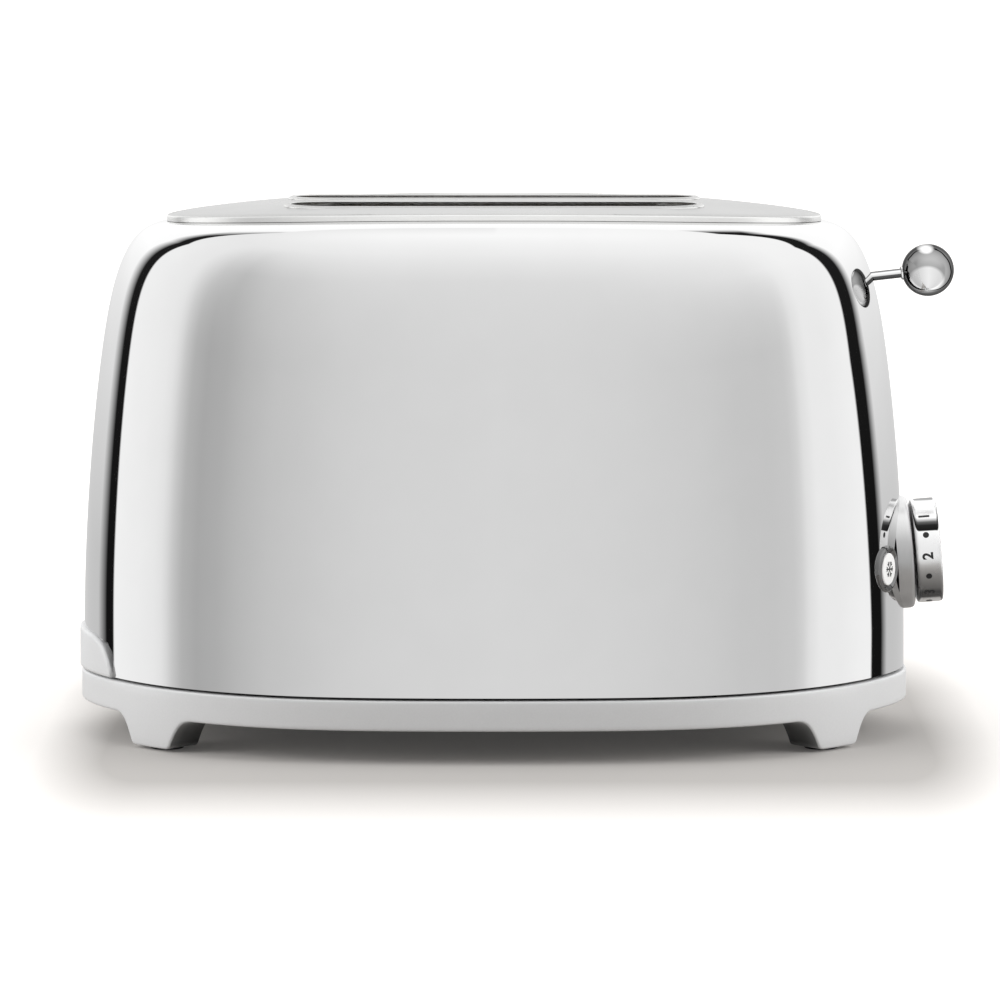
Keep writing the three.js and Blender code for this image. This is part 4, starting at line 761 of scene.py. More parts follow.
base_rows = []
start_s, _, start_z = edge_row(0)
for share in FACE_SHARES:
    s = start_s + (top_s - start_s) * share
    z = start_z + (RING_TOP - RING_EDGE - start_z) * share
    base_rows.append(on_ring(s, 0 * s, z))
for a in np.radians([22, 45, 67, 90]):
    inward = np.full(len(top_s), RING_EDGE * (1 - math.cos(a)))
    base_rows.append(on_ring(top_s, inward, RING_TOP - RING_EDGE * (1 - math.sin(a))))
wall = np.full(len(top_s), RING_WALL)
base_rows += [on_ring(top_s, wall, RING_TOP), on_ring(top_s, wall, FLOOR_TOP)]
ring_xy = on_ring(top_s, 0 * top_s, 0.0)[:, :2] - [MIDDLE_X, 0]
shrink = np.minimum(HATCH_HALF[0] / np.abs(ring_xy[:, 0]), HATCH_HALF[1] / np.abs(ring_xy[:, 1]))
hatch_xy = ring_xy * shrink[:, None] + [MIDDLE_X, 0]
for z in (FLOOR_TOP, FLOOR_UNDER):
    base_rows.append(np.column_stack([hatch_xy, np.full(len(hatch_xy), z)]))
for share in (0, 0.5, 1):
    s = top_s + (edge_s - top_s) * share
    base_rows.append(on_ring(s, depths, FLOOR_UNDER + (edge_z - FLOOR_UNDER) * share))
for share in (0.66, 0.33):
    base_rows.append(on_ring(edge_s, RING_EDGE + (depths - RING_EDGE) * share, edge_z))
for a in np.radians([90, 67, 45, 22]):
    base_rows.append(on_ring(*edge_row(a)))
base = piece("base", *net(base_rows), finishes["silver_moulding"], crease=40)
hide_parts("base_ring")
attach(base, "housing")
print("base faces:", len(base.data.polygons))

# %% [markdown]
# The crumb tray's handle is a shield that follows the left end of the body and stands a little proud of it.
# Its upper edge is nearly straight and drops in a round shoulder on both sides. Its edges are rounded by a
# small roll.

# %% Crumb tray handle
HANDLE_HALF_WIDTH = 39.8
HANDLE_LOW = 24
HANDLE_PROUD = 1.6
HANDLE_THICKNESS = 3.6
HANDLE_EDGE = 1.1
EDGE_Y = [0, 12, 24, 30, 33, 35.4, 37.3, 38.8, 39.5, 39.8]
EDGE_Z = [40.2, 39.4, 38.5, 37.3, 36.0, 34.3, 32.0, 29.4, 27.4, 26.4]
RISE_SHARES = (0, 0.015, 0.035, 0.06, 0.1, 0.2, 0.35, 0.5, 0.65, 0.8, 0.9, 0.94, 0.965, 0.985, 1)

across = HANDLE_HALF_WIDTH * np.sin(np.linspace(-math.pi / 2, math.pi / 2, 65))
upper = np.interp(np.abs(across), EDGE_Y, EDGE_Z)
for _ in range(2):
    upper[1:-1] = (upper[:-2] + 2 * upper[1:-1] + upper[2:]) / 4
slope = np.gradient(upper, across)
face_rows, back_rows = [], []
for share in RISE_SHARES:
    z = HANDLE_LOW + (upper - HANDLE_LOW) * share
    reach_x, out_x, out_y = end_point(np.maximum(z, SHELL_FOOT), across)
    nearest = np.minimum(z - HANDLE_LOW, (upper - z) / np.hypot(1, slope))
    w = np.clip(nearest / HANDLE_EDGE, 0, 1)
    proud = HANDLE_PROUD - HANDLE_EDGE * (1 - np.sqrt(1 - (1 - w) ** 2))
    for rows, off in ((face_rows, proud), (back_rows, np.full(len(z), HANDLE_PROUD - HANDLE_THICKNESS))):
        x = MIDDLE_X - reach_x - out_x * off
        rows.append(np.column_stack([x, across + np.sign(across) * out_y * off, z]))
rows = face_rows + back_rows[::-1]
points, faces = net(rows, closed_columns=False)
width = len(across)
for column in (0, width - 1):
    for i in range(len(face_rows) - 1):
        corners = (i, i + 1, len(rows) - 2 - i, len(rows) - 1 - i)
        faces.append([row * width + column for row in corners])
handle = piece("tray_handle", points, faces, finishes["silver_moulding"], crease=45)
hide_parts("crumb_tray_handle")
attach(handle, "crumb_tray")

# %% [markdown]
# The lever's knob is a polished ball on a slim arm. Both are turned about the arm's own line, which climbs
# a little towards the knob. A ball needs many sides, because its outline and its reflections show every
# corner.

# %% Lever arm and knob
KNOB = (MIDDLE_X + 162.5, 0, 172.7)
KNOB_RADIUS = 9.8
KNOB_BORE = 4
COLLAR_RADIUS = 2.5
COLLAR_LENGTH = 0.4
COLLAR_ROUND = 0.4
ARM_RADIUS = 1.75
ARM_START = 6.3
ARM_LENGTH = 47.5
LEVER_TILT = math.radians(6.5)
lever_place = facing(KNOB, (-math.cos(LEVER_TILT), 0, -math.sin(LEVER_TILT)))

neck = math.asin(COLLAR_RADIUS / KNOB_RADIUS)
turns = np.linspace(0, math.pi - neck, 49)
ball = [(KNOB_RADIUS * math.sin(a), -KNOB_RADIUS * math.cos(a)) for a in turns]
tip = KNOB_RADIUS + COLLAR_LENGTH
collar = softened([ball[-1], (COLLAR_RADIUS, tip), (ARM_RADIUS, tip)], COLLAR_ROUND)[1:]
knob_profile = ball + collar + [(ARM_RADIUS, KNOB_RADIUS - KNOB_BORE), (0, KNOB_RADIUS - KNOB_BORE)]
knob = turned("knob", knob_profile, 96, lever_place, finishes["ball_chrome"])
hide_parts("lever_knob")
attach(knob, "carriage")
arm_profile = [(0, ARM_START), (ARM_RADIUS, ARM_START), (ARM_RADIUS, ARM_LENGTH), (0, ARM_LENGTH)]
arm = turned("arm", arm_profile, 48, lever_place, finishes["rod_chrome"])
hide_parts("lever_arm")
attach(arm, "carriage")

# %% [markdown]
# The browning dial sits in a bezel of brushed metal, with a dark seam between them. The numbers run round
# its rim with their tops towards the body, and a dot stands between each two. They are real letters, bent
# round.

# %% Dial and bezel
BEZEL_RADIUS = 21.2
BEZEL_BACK = -3
BEZEL_REACH = 3.2
BEZEL_BORE = 13
BEZEL_ROUND = 2.2
DIAL_RADIUS = 19.6
DIAL_BACK = 3.9
DIAL_FACE = 13.8
DIAL_DISH = 1.2
DIAL_ROUND = 1.9
DISH_SHARES = (0.84, 0.78)
ROUND_STEPS = 6
SHAFT_RADIUS = 3.3
SHAFT_BORE = 5
MARK_ANGLE = 46.7
MARK_HEIGHT = 4.1
MARK_RADIUS = DIAL_RADIUS + 0.06
MARK_Z = (DIAL_BACK + DIAL_FACE - 1) / 2
LETTER_BOLDNESS = 0.32
LONGEST_EDGE = 1.2
DOT_RADIUS = 1.15
DOT_SIDES = 24

bezel_edge = [
    (BEZEL_BORE, BEZEL_BACK),
    (BEZEL_RADIUS, BEZEL_BACK),
    (BEZEL_RADIUS, BEZEL_REACH),
    (BEZEL_BORE, BEZEL_REACH),
]
bezel_profile = softened(bezel_edge, BEZEL_ROUND, ROUND_STEPS)
bezel_profile[1 : ROUND_STEPS + 2] = [np.array((BEZEL_RADIUS, float(BEZEL_BACK)))]
bezel = turned("bezel", bezel_profile, 128, dial_place, finishes["brushed_steel"], closed=True, crease=30)
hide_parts("dial_bezel")
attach(bezel, "housing")

dial_edge = [
    (SHAFT_RADIUS, DIAL_BACK),
    (DIAL_RADIUS, DIAL_BACK),
    (DIAL_RADIUS, DIAL_FACE),
    (DIAL_RADIUS * DISH_SHARES[0], DIAL_FACE),
    (DIAL_RADIUS * DISH_SHARES[1], DIAL_FACE - DIAL_DISH),
    (0, DIAL_FACE - DIAL_DISH),
]
shaft_seat = DIAL_BACK + SHAFT_BORE
dial_profile = softened(dial_edge, DIAL_ROUND, ROUND_STEPS) + [(0, shaft_seat), (SHAFT_RADIUS, shaft_seat)]
dial = turned("dial_knob", dial_profile, 128, dial_place, finishes["turned_steel"], closed=True, crease=50)
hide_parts("dial")
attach(dial, "dial")


def letter(text, height):
    """A number as points and faces in millimetres, centred on the origin."""
    curve = bpy.data.curves.new(text, "FONT")
    curve.body = text
    curve.size = 10
    curve.offset = LETTER_BOLDNESS
    curve.resolution_u = 8
    holder = add_object(text, curve)
    work = bmesh.new()
    work.from_mesh(plain_mesh(holder))
    bpy.data.objects.remove(holder)
    bmesh.ops.triangulate(work, faces=work.faces)
    long_edges = [edge for edge in work.edges if edge.calc_length() > LONGEST_EDGE]
    bmesh.ops.subdivide_edges(work, edges=long_edges, cuts=2)
    bmesh.ops.triangulate(work, faces=work.faces)
    work.verts.index_update()
    points = np.array([v.co for v in work.verts])
    faces = [[v.index for v in face.verts] for face in work.faces]
    work.free()
    low, high = points.min(0), points.max(0)
    return (points - (low + high) / 2) * height / (high[1] - low[1]), faces


def printed(name, points, faces, place, body):
    """A thin mark in ink, laid on a piece that moves with a body."""
    mesh = bpy.data.meshes.new(name)
    mesh.from_pydata([tuple(MM * c for c in p) for p in points], [], faces)
    mesh.materials.append(finishes["ink"])
    mesh.transform(place)
    mark = add_object(name, mesh)
    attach(mark, body)


circle = [2 * math.pi * k / DOT_SIDES for k in range(DOT_SIDES)]
dot_points = [(-DOT_RADIUS * math.cos(a), -DOT_RADIUS * math.sin(a)) for a in circle]
marks = [(number, *letter(str(number), MARK_HEIGHT)) for number in range(1, 7)]
marks += [(number + 0.5, dot_points, [list(range(DOT_SIDES))]) for number in range(1, 6)]
mark_points, mark_faces = [], []
for number, flat_points, flat_faces in marks:
    middle = math.radians(-90 + (number - 2) * MARK_ANGLE)
    mark_faces += [[len(mark_points) + corner for corner in face] for face in flat_faces]
    for x, y, *_ in flat_points:
        angle = middle - x / DIAL_RADIUS
        mark_points.append((MARK_RADIUS * math.cos(angle), MARK_RADIUS * math.sin(angle), MARK_Z - y))
printed("dial_marks", mark_points, mark_faces, dial_place, "dial")

# %% [markdown]
# Each push button is a white cap in a chrome ring. The ring slopes down from its outer edge to the cap. The
# front one carries the sign for defrosting, six branched arms, and the rear one three rising waves for
# warming.

# %% Buttons
RING_RADIUS = 8.75
RING_BORE = 6.35
RING_BACK = -2.5
RING_ROUND = 0.35
CAP_RADIUS = 6.05
CAP_REACH = 0.9
CAP_BACK = -3
CAP_ROUND = 0.3
CAP_FLAT = CAP_RADIUS * 0.6
STEM = [(0, -8), (2.2, -8), (2.2, CAP_BACK)]
ARM_WIDTH = 0.5
SIGN_RADIUS = 3.1
SIGN_LIFT = 0.22
SIGN_DROP = 0.048


def strokes(lines, width):
    """Flat bars along straight lines, as points and faces."""
    points, faces = [], []
    for (x0, y0), (x1, y1) in lines:
        along = np.array((x1 - x0, y1 - y0), float)
        along /= np.linalg.norm(along)
        beside = np.array((-along[1], along[0])) * width / 2
        faces.append([len(points) + k for k in range(4)])
        for x, y, k in ((x0, y0, -1), (x1, y1, -1), (x1, y1, 1), (x0, y0, 1)):
            points.append((x + beside[0] * k, y + beside[1] * k))
    return points, faces


def turned_lines(lines, count):
    result = []
    for k in range(count):
        c, s = math.cos(2 * math.pi * k / count), math.sin(2 * math.pi * k / count)
        result += [tuple((c * x - s * y, s * x + c * y) for x, y in line) for line in lines]
    return result


branch = [((0, 0), (SIGN_RADIUS, 0)), ((1.7, 0), (2.7, 0.9)), ((1.7, 0), (2.7, -0.9))]
waves = []
for shift in (-1.7, 0, 1.7):
    steps = [(-z, 0.6 * math.sin(1.6 * z) + shift) for z in np.linspace(-2.6, 2.6, 14)]
    waves += list(zip(steps, steps[1:]))
signs = {"front": turned_lines(branch, 6), "rear": waves}
ring_back = [(RING_BORE, RING_BACK), (RING_RADIUS, RING_BACK)]
ring_front = [(RING_RADIUS, 0.55), (RING_RADIUS - 0.7, 1.15), (RING_BORE, 0.2)]
ring_profile = softened(ring_back + ring_front, RING_ROUND)
cap_side = [(CAP_RADIUS, CAP_BACK), (CAP_RADIUS, CAP_REACH - CAP_ROUND)]
cap_profile = softened(STEM + cap_side, CAP_ROUND)
cap_profile += [(CAP_RADIUS - CAP_ROUND, CAP_REACH), (CAP_FLAT, CAP_REACH + 0.14), (0, CAP_REACH + 0.18)]
for side_name, place in button_places.items():
    ring = turned(f"button_collar_{side_name}", ring_profile, 72, place, finishes["ring_chrome"], closed=True)
    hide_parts(f"button_ring_{side_name}")
    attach(ring, "housing")
    cap = turned(f"button_cap_{side_name}", cap_profile, 64, place, finishes["white_plastic"])
    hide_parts(f"button_{side_name}")
    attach(cap, f"button_{side_name}")
    points, faces = strokes(signs[side_name], ARM_WIDTH)
    lifted = []
    for x, y in points:
        drop = SIGN_DROP * (math.hypot(x, y) / CAP_FLAT) ** 2
        lifted.append((x, y, CAP_REACH + SIGN_LIFT - drop))
    printed(f"button_sign_{side_name}", lifted, faces, place, f"button_{side_name}")

# %% [markdown]
# What repeats or follows a path is made by Geometry Nodes: the turns of the lift spring, the ribbons on the
# heater boards, the wires of the bread guides, the rubber pads and the base screws. Each tree has its sizes
# as inputs.

# %% Geometry Nodes helpers
def geometry_tree(name, **inputs):
    """A Geometry Nodes tree, what it is given, and its end. An input's name has a capital for every word."""
    labels = {label.replace("_", " "): kind for label, kind in inputs.items()}
    labels = {"Geometry": "Geometry", **labels, "Material": "Material"}
    return node_group(name, "GeometryNodeTree", labels, {"Geometry": "Geometry"})


def close_tree(tree, given, end, geometry):
    real = add_node(tree, "GeometryNodeRealizeInstances", {"Geometry": geometry})
    inputs = {"Geometry": real, "Material": given["Material"]}
    fill(end, {"Geometry": add_node(tree, "GeometryNodeSetMaterial", inputs)})


def grown(name, tree, values, slot_name, body, nodes, base=None):
    """Runs a tree on an object, and turns the result into a plain mesh that stands for CAD nodes."""
    holder = add_object(name + " holder", base or bpy.data.meshes.new(name))
    change = holder.modifiers.new("grow", "NODES")
    change.node_group = tree
    values = {**values, "Material": finishes[slot_name]}
    for item in tree.interface.items_tree:
        if item.in_out == "INPUT" and item.name in values:
            change[item.identifier] = values[item.name]
    made = add_object(name, plain_mesh(holder))
    bpy.data.objects.remove(holder)
    soften_shading(made, 35)
    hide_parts(*nodes)
    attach(made, body)
    return made


# %% [markdown]
# The lift spring is one steel wire wound round the guide rod. A spiral curve gets a round section. It is made
# at rest; in the toaster the carriage presses it together as the lever goes down.

# %% Lift spring
SPRING_TURNS = 10.0
COIL_RADIUS = 5.4 * MM
WIRE_RADIUS = 0.7 * MM

tree, given, end = geometry_tree(
    "wound spring", Turns="Float", Coil_Radius="Float", Wire_Radius="Float", Height="Float", Foot="Vector"
)
radius = given["Coil Radius"]
spiral = {"Resolution": 24, "Rotations": given["Turns"], "Start Radius": radius, "End Radius": radius}
coil = add_node(tree, "GeometryNodeCurveSpiral", {**spiral, "Height": given["Height"]})
circle_inputs = {"Resolution": 12, "Radius": given["Wire Radius"]}
section = add_node(tree, "GeometryNodeCurvePrimitiveCircle", circle_inputs)
sweep = {"Curve": coil, "Profile Curve": section, "Fill Caps": True}
wound = add_node(tree, "GeometryNodeCurveToMesh", sweep)
stood = add_node(tree, "GeometryNodeTransform", {"Geometry": wound, "Translation": given["Foot"]})
close_tree(tree, given, end, stood)

low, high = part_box("lift_spring")
foot = ((low.x + high.x) / 2, 0.0, low.z + WIRE_RADIUS)
sizes = {
    "Turns": SPRING_TURNS,
    "Coil Radius": COIL_RADIUS,
    "Wire Radius": WIRE_RADIUS,
    "Height": high.z - low.z - 2 * WIRE_RADIUS,
    "Foot": foot,
}
spring = grown("spring_coil", tree, sizes, "bright_steel", "housing", ["lift_spring"])
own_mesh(spring)
print("spring:", round((high.z - low.z) / MM, 1), "mm high at rest")

# %% [markdown]
# Four wire cages centre the bread. Each is a row of thin upright wires welded between two rails, so one
# line of points carries the wires. The cages move towards the bread as it goes down.

# %% Bread guides
GUIDE_WIRES = 12
GUIDE_RADIUS = 0.9 * MM
GUIDE_MARGIN = 4 * MM
WIRE_SIDES = 10
RAIL_SHARE = 0.485

tree, given, end = geometry_tree(
    "wire cage",
    Wires="Int",
    Pitch="Float",
    Wire_Radius="Float",
    Height="Float",
    Rail_Length="Float",
    First="Vector",
    Middle="Vector",
)


def bar(length):
    inputs = {"Vertices": WIRE_SIDES, "Radius": given["Wire Radius"], "Depth": given[length]}
    return add_node(tree, "GeometryNodeMeshCylinder", inputs)


step = add_node(tree, "ShaderNodeCombineXYZ", {"X": given["Pitch"]})
line_inputs = {"Count": given["Wires"], "Start Location": given["First"], "Offset": step}
line = add_node(tree, "GeometryNodeMeshLine", line_inputs)
cage = [add_node(tree, "GeometryNodeInstanceOnPoints", {"Points": line, "Instance": bar("Height")})]
rail = bar("Rail Length")
for share in (RAIL_SHARE, -RAIL_SHARE):
    rise = add_node(tree, "ShaderNodeCombineXYZ", {"Z": maths(given["Height"], "MULTIPLY", share)})
    at = add_node(tree, "ShaderNodeVectorMath", {0: given["Middle"], 1: rise}, operation="ADD")
    along_x = {"Geometry": rail, "Translation": at, "Rotation": (0.0, math.pi / 2, 0.0)}
    cage.append(add_node(tree, "GeometryNodeTransform", along_x))
joined = add_node(tree, "GeometryNodeJoinGeometry")
for item in cage:
    fill(joined, {"Geometry": item})
close_tree(tree, given, end, joined)

for name in ("front_outer", "front_inner", "rear_inner", "rear_outer"):
    low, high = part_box(f"bread_guide_{name}")
    middle = (low + high) / 2
    radius = min(GUIDE_RADIUS, (high.y - low.y) / 2)
    sizes = {
        "Wires": GUIDE_WIRES,
        "Pitch": (high.x - low.x - 2 * GUIDE_MARGIN) / (GUIDE_WIRES - 1),
        "Wire Radius": radius,
        "Height": high.z - low.z - 2 * radius,
        "Rail Length": high.x - low.x,
        "First": (low.x + GUIDE_MARGIN, middle.y, middle.z),
        "Middle": tuple(middle),
    }
    grown(f"guide_wires_{name}", tree, sizes, "bright_steel", f"guide_{name}", [f"bread_guide_{name}"])

# %% [markdown]
# The heater winding is a flat ribbon that runs up and down its mica board. One path with right-angled turns
# gets a thin flat section. The path is a curve of straight runs, and the tree rounds its turns and sweeps
# the ribbon.

# %% Heater windings
RUNS = 14
RIBBON_WIDTH = 1.6 * MM
TURN_RADIUS = 2 * MM

tree, given, end = geometry_tree(
    "heater ribbon", Ribbon_Width="Float", Ribbon_Thickness="Float", Turn_Radius="Float"
)
path = {"Curve": given["Geometry"], "Radius": given["Turn Radius"], "Limit Radius": True}
bent = add_node(tree, "GeometryNodeFilletCurve", path, mode="POLY")
flat_inputs = {"Width": given["Ribbon Width"], "Height": given["Ribbon Thickness"]}
flat = add_node(tree, "GeometryNodeCurvePrimitiveQuadrilateral", flat_inputs)
swept = add_node(tree, "GeometryNodeCurveToMesh", {"Curve": bent, "Profile Curve": flat, "Fill Caps": True})
close_tree(tree, given, end, swept)

for name in ("front", "middle_front", "middle_rear", "rear"):
    low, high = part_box(f"heater_winding_{name}")
    path = bpy.data.curves.new(f"ribbon path {name}", "CURVE")
    path.dimensions = "3D"
    places = []
    for k in range(RUNS):
        x = low.x + RIBBON_WIDTH / 2 + (high.x - low.x - RIBBON_WIDTH) * k / (RUNS - 1)
        pair = [(x, low.z + RIBBON_WIDTH / 2), (x, high.z - RIBBON_WIDTH / 2)]
        places += pair if k % 2 == 0 else pair[::-1]
    run = path.splines.new("POLY")
    run.points.add(len(places) - 1)
    for point, (x, z) in zip(run.points, places):
        point.co = (x, (low.y + high.y) / 2, z, 1)
    sizes = {"Ribbon Width": (high.y - low.y), "Ribbon Thickness": RIBBON_WIDTH, "Turn Radius": TURN_RADIUS}
    grown(f"ribbon_{name}", tree, sizes, "resistance_wire", "housing", [f"heater_winding_{name}"], base=path)

# %% [markdown]
# Under the base, four rubber pads stand in the feet and four screws hold the bottom plate. A short turned
# profile is copied onto four points by the same small tree for both.

# %% Foot pads and base screws
QUARTERS = ("front_left", "front_right", "rear_left", "rear_right")
PAD_ROUND = 0.6
HEAD_HEIGHT = 1.6
HEAD_ROUND = 0.4
SCREW_SHANK = 1.5
SCREW_LENGTH = 8.6

tree, given, end = geometry_tree("copies on points", Copy="Object")
copy = add_node(tree, "GeometryNodeObjectInfo", {"Object": given["Copy"]}, transform_space="ORIGINAL")
placed = {"Points": given["Geometry"], "Instance": copy.outputs["Geometry"]}
close_tree(tree, given, end, add_node(tree, "GeometryNodeInstanceOnPoints", placed))

pad_low, pad_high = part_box("foot_pad_front_left")
pad_radius = (pad_high.x - pad_low.x) / 2 / MM
pad_top = pad_high.z / MM
pad_profile = softened([(0, 0), (pad_radius, 0), (pad_radius, pad_top), (0, pad_top)], PAD_ROUND)
screw_low, screw_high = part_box("base_screw_front_left")
head = (screw_high.x - screw_low.x) / 2 / MM
screw_profile = [(0, 0.9), (head * 0.32, 0.9), (head * 0.36, 0.1)]
head_edge = [(head * 0.8, 0), (head, HEAD_HEIGHT / 2), (head, HEAD_HEIGHT), (SCREW_SHANK, HEAD_HEIGHT)]
screw_profile += softened(head_edge, HEAD_ROUND)
screw_profile += [(SCREW_SHANK, SCREW_LENGTH), (0, SCREW_LENGTH)]
for kind, profile, slot_name, height in (
    ("foot_pad", pad_profile, "rubber", 0.0),
    ("base_screw", screw_profile, "zinc_sheet", screw_low.z / MM),
):
    names = [f"{kind}_{quarter}" for quarter in QUARTERS]
    middles = []
    for low, high in map(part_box, names):
        middles.append(((low.x + high.x) / 2, (low.y + high.y) / 2, height * MM))
    spots = bpy.data.meshes.new(kind + " spots")
    spots.from_pydata(middles, [], [])
    single = turned(kind + " single", profile, 32, Matrix(), None)
    grown(kind + "s", tree, {"Copy": single}, slot_name, "housing", names, base=spots)
    bpy.data.objects.remove(single)

# %% [markdown]
# A mirror finish is a picture of the studio. The camera and the object stand in a tent of white cloth. A
# black frame round the back wall draws the dark line along the body's edges, and the left side of the tent
# is dimmer.

# %% Studio
SOFTBOX = 1.2
LEVEL = [
    (-180, 1.0), (-116, 1.0), (-103, 0.97), (-94, 0.93), (-90, 0.88), (-87, 0.79), (-84, 0.66), (-79, 0.51),
    (-72, 0.45), (-63, 0.48), (-54, 0.55), (-42, 0.62), (-30, 0.66), (-18, 0.71), (0, 0.77), (21, 0.72),
    (36, 0.69), (51, 0.65), (64, 0.64), (73, 0.665), (77, 0.73), (80, 0.85), (86, 0.95), (97, 0.955),
    (109, 1.0), (180, 1.0),
]
RAISED = [
    (-180, 1.0), (-112, 1.0), (-103, 0.96), (-91, 0.92), (-84, 0.8), (-76, 0.66), (-65, 0.58), (-50, 0.68),
    (-38, 0.72), (-20, 0.79), (0, 0.82), (29, 0.85), (48, 0.87), (66, 0.9), (80, 0.98), (91, 1.03),
    (180, 1.08),
]
WALL = [(-90, 0.55), (-5, 0.6), (0, 0.8), (10, 1.0), (22, 1.13), (90, 1.13)]
RAISED_RISE = (8, 30)
CEILING_RISE = (30, 54)
ZENITH_RISE = (54, 88)
CEILING = (-60, 100, 0.935 * SOFTBOX, 1.05 * SOFTBOX)
ZENITH = 1.1 * SOFTBOX
LEFT_POST = 119.4
RIGHT_POST = (-7, 3, 117.0, 112.3)
FRAME_TOP = 59.0
FRAME_CORNER = 36.6
DIAGONAL = 0.707
FRAME_EDGE = (-0.7, 0.4)
FRAME_GREY = 0.012
LEFT_SOFT = (5.5, 14)
RIGHT_SOFT = (7.5, 13)
LEFT_FADE = (-134, -150)
RIGHT_FADE = (144, 158)
BACK_CLOTH = (-0.2, 0.6)
SIDE_CLOTH = (0.25, 0.9, 0.0, 1.5)
BACK_LIGHT = 1.15


def degrees(value):
    return maths(value, "MULTIPLY", 180 / math.pi)


def ramp(source, stops, end):
    """Greys over a range of degrees to both sides, times a softbox's strength."""
    return maths(greys(source, stops, -end, end), "MULTIPLY", SOFTBOX)


def blend(factor, first, second):
    return add_node(factor.id_data, "ShaderNodeMix", {0: factor, 2: first, 3: second}, data_type="FLOAT")


world = bpy.data.worlds.new("studio")
scene.world = world
world.use_nodes = True
look = parts_of(world.node_tree, "ShaderNodeTexCoord", "Generated")
turn = degrees(maths(look["X"], "ARCTAN2", maths(look["Y"], "MULTIPLY", -1.0)))
rise = degrees(maths(look["Z"], "ARCSINE"))
front = blend(level(rise, *RAISED_RISE), ramp(turn, LEVEL, 180), ramp(turn, RAISED, 180))
front = blend(level(rise, *CEILING_RISE), front, level(turn, *CEILING))
front = blend(level(rise, *ZENITH_RISE), front, ZENITH)

is_right = maths(turn, "GREATER_THAN", 0.0)
post = blend(is_right, LEFT_POST, level(rise, *RIGHT_POST))
from_post = maths(maths(turn, "ABSOLUTE"), "SUBTRACT", post)
below_top = maths(maths(rise, "MULTIPLY", -1.0), "ADD", FRAME_TOP)
corner = maths(maths(maths(from_post, "ADD", FRAME_CORNER), "SUBTRACT", rise), "MULTIPLY", DIAGONAL)
within = maths(from_post, "MINIMUM", maths(below_top, "MINIMUM", corner))
soft = blend(is_right, level(within, *LEFT_SOFT), level(within, *RIGHT_SOFT))
faded = blend(is_right, level(turn, *LEFT_FADE), level(turn, *RIGHT_FADE))
soft = maths(soft, "MAXIMUM", maths(faded, "MAXIMUM", FRAME_GREY))
back_wall = maths(ramp(rise, WALL, 90), "MULTIPLY", soft)
mirrored = blend(level(within, *FRAME_EDGE), front, back_wall)

cloth = blend(level(look["Y"], *BACK_CLOTH), level(maths(look["X"], "ABSOLUTE"), *SIDE_CLOTH), BACK_LIGHT)
rays = add_node(world.node_tree, "ShaderNodeLightPath").outputs
light = blend(rays["Is Glossy Ray"], cloth, mirrored)
shown = blend(rays["Is Camera Ray"], light, 1.0)
fill(world.node_tree.nodes["Background"], {"Color": shown, "Strength": 1.0})

# %% [markdown]
# The floor is pale paper that takes the toaster's real shadow. For the camera it also glows, so that it runs
# out into white; the glow is faint under and near the body, which paints a soft shadow round it on top of the
# real one. A mirror sees through it to the cloth behind, except close by, where the paper lies in the shade
# of the body.

# %% Floor and lamps
FLOOR_HALF = 30
PAPER = (0.5, 0.482, 0.464, 1)
GLOW_TINT = (1, 0.985, 0.97)
BODY_HALF = {"X": 0.135, "Y": 0.075}
SIDE_FACTOR = 3.5
PAPER_ROUGHNESS = 0.9
GLOW_NEAR_PAINTED_SHADOW = (0.06, 0.15, 0.04, 0.5)
GLOW_FAR_FROM_PAINTED_SHADOW = (0.15, 0.5, 0.0, 0.5)
NEAR = 0.16
OVERHEAD_POWER = 3
SIDE_POWER = 10

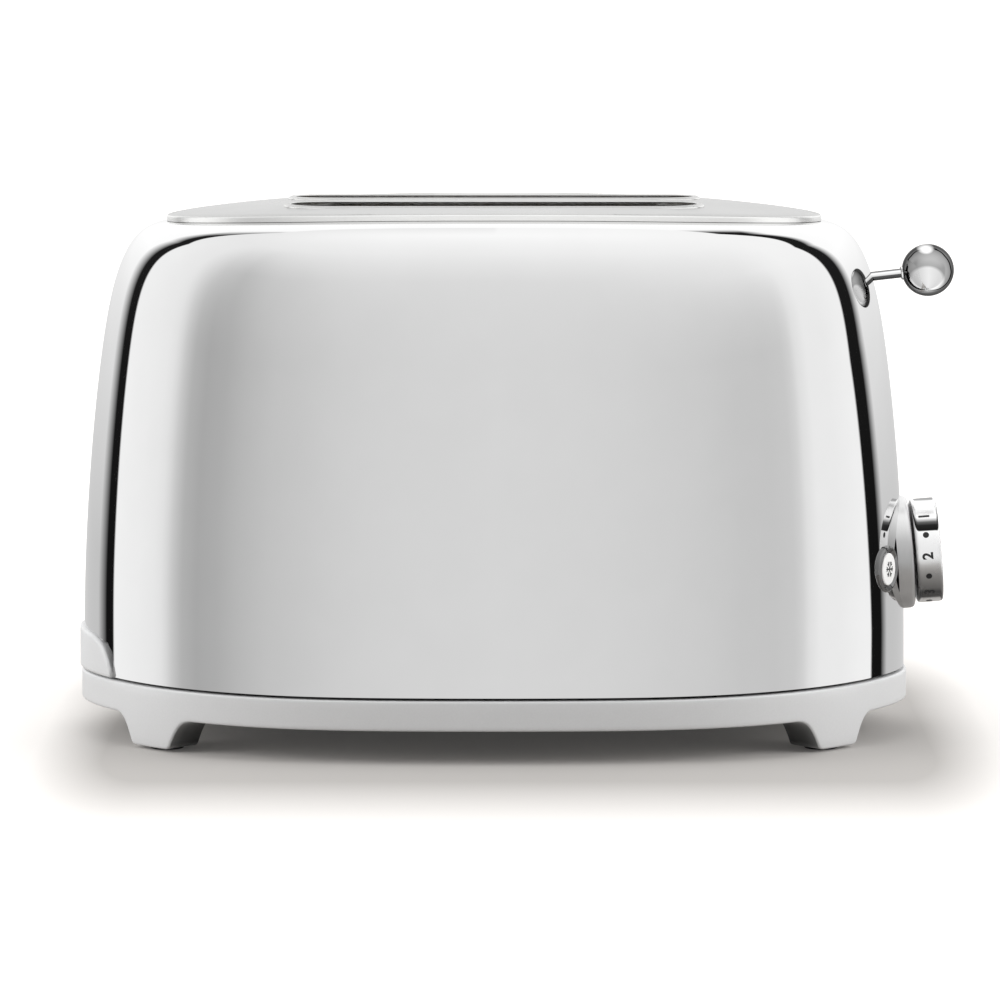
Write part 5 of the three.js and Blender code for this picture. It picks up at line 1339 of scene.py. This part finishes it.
floor_mesh = bpy.data.meshes.new("floor")
corners = [(FLOOR_HALF * x, FLOOR_HALF * y, 0) for x, y in ((-1, -1), (1, -1), (1, 1), (-1, 1))]
floor_mesh.from_pydata(corners, [], [(0, 1, 2, 3)])
floor = add_object("floor", floor_mesh)
floor_finish = bpy.data.materials.new("floor")
floor_finish.use_nodes = True
tree = floor_finish.node_tree
rays = add_node(tree, "ShaderNodeLightPath").outputs
spot = parts_of(tree, "ShaderNodeTexCoord", "Object")
# Painted shadow: the camera glow is faint close to the body's footprint and rises with distance from it.
past = {}
for axis, half in BODY_HALF.items():
    past[axis] = maths(maths(maths(spot[axis], "ABSOLUTE"), "SUBTRACT", half), "MAXIMUM", 0.0)
past["X"] = maths(past["X"], "MULTIPLY", SIDE_FACTOR)
apart = add_node(tree, "ShaderNodeCombineXYZ", past)
away = add_node(tree, "ShaderNodeVectorMath", {0: apart}, operation="LENGTH").outputs["Value"]
glow_with_painted_shadow = maths(level(away, *GLOW_NEAR_PAINTED_SHADOW), "ADD", level(away, *GLOW_FAR_FROM_PAINTED_SHADOW))
own = maths(rays["Is Camera Ray"], "MULTIPLY", glow_with_painted_shadow)
tinted = add_node(tree, "ShaderNodeVectorMath", {0: GLOW_TINT, "Scale": own}, operation="SCALE")
paper = fill(
    tree.nodes["Principled BSDF"],
    {
        "Base Color": PAPER,
        "Roughness": PAPER_ROUGHNESS,
        "Specular IOR Level": 0,
        "Emission Strength": 1,
        "Emission Color": tinted,
    },
)
far = maths(rays["Ray Length"], "GREATER_THAN", NEAR)
clear = add_node(tree, "ShaderNodeBsdfTransparent")
seen_through = {"Fac": maths(rays["Is Glossy Ray"], "MULTIPLY", far), 1: paper, 2: clear}
fill(tree.nodes["Material Output"], {"Surface": add_node(tree, "ShaderNodeMixShader", seen_through)})
floor_mesh.materials.append(floor_finish)


def lamp(name, place, target, size, energy):
    """A soft rectangular lamp that the mirrors don't show."""
    data = bpy.data.lights.new(name, "AREA")
    data.shape = "RECTANGLE"
    data.size, data.size_y = size
    data.energy = energy
    made = add_object(name, data)
    aim(made, place, target)
    made.visible_glossy = False


lamp("overhead", (0, 0, 1.5), (0, 0, 0), (1.4, 1.0), OVERHEAD_POWER)
lamp("left side", (-1.3, -0.3, 0.6), (0, 0, 0.05), (0.8, 0.8), SIDE_POWER)
lamp("right side", (1.3, -0.3, 0.6), (0, 0, 0.05), (0.8, 0.8), SIDE_POWER)
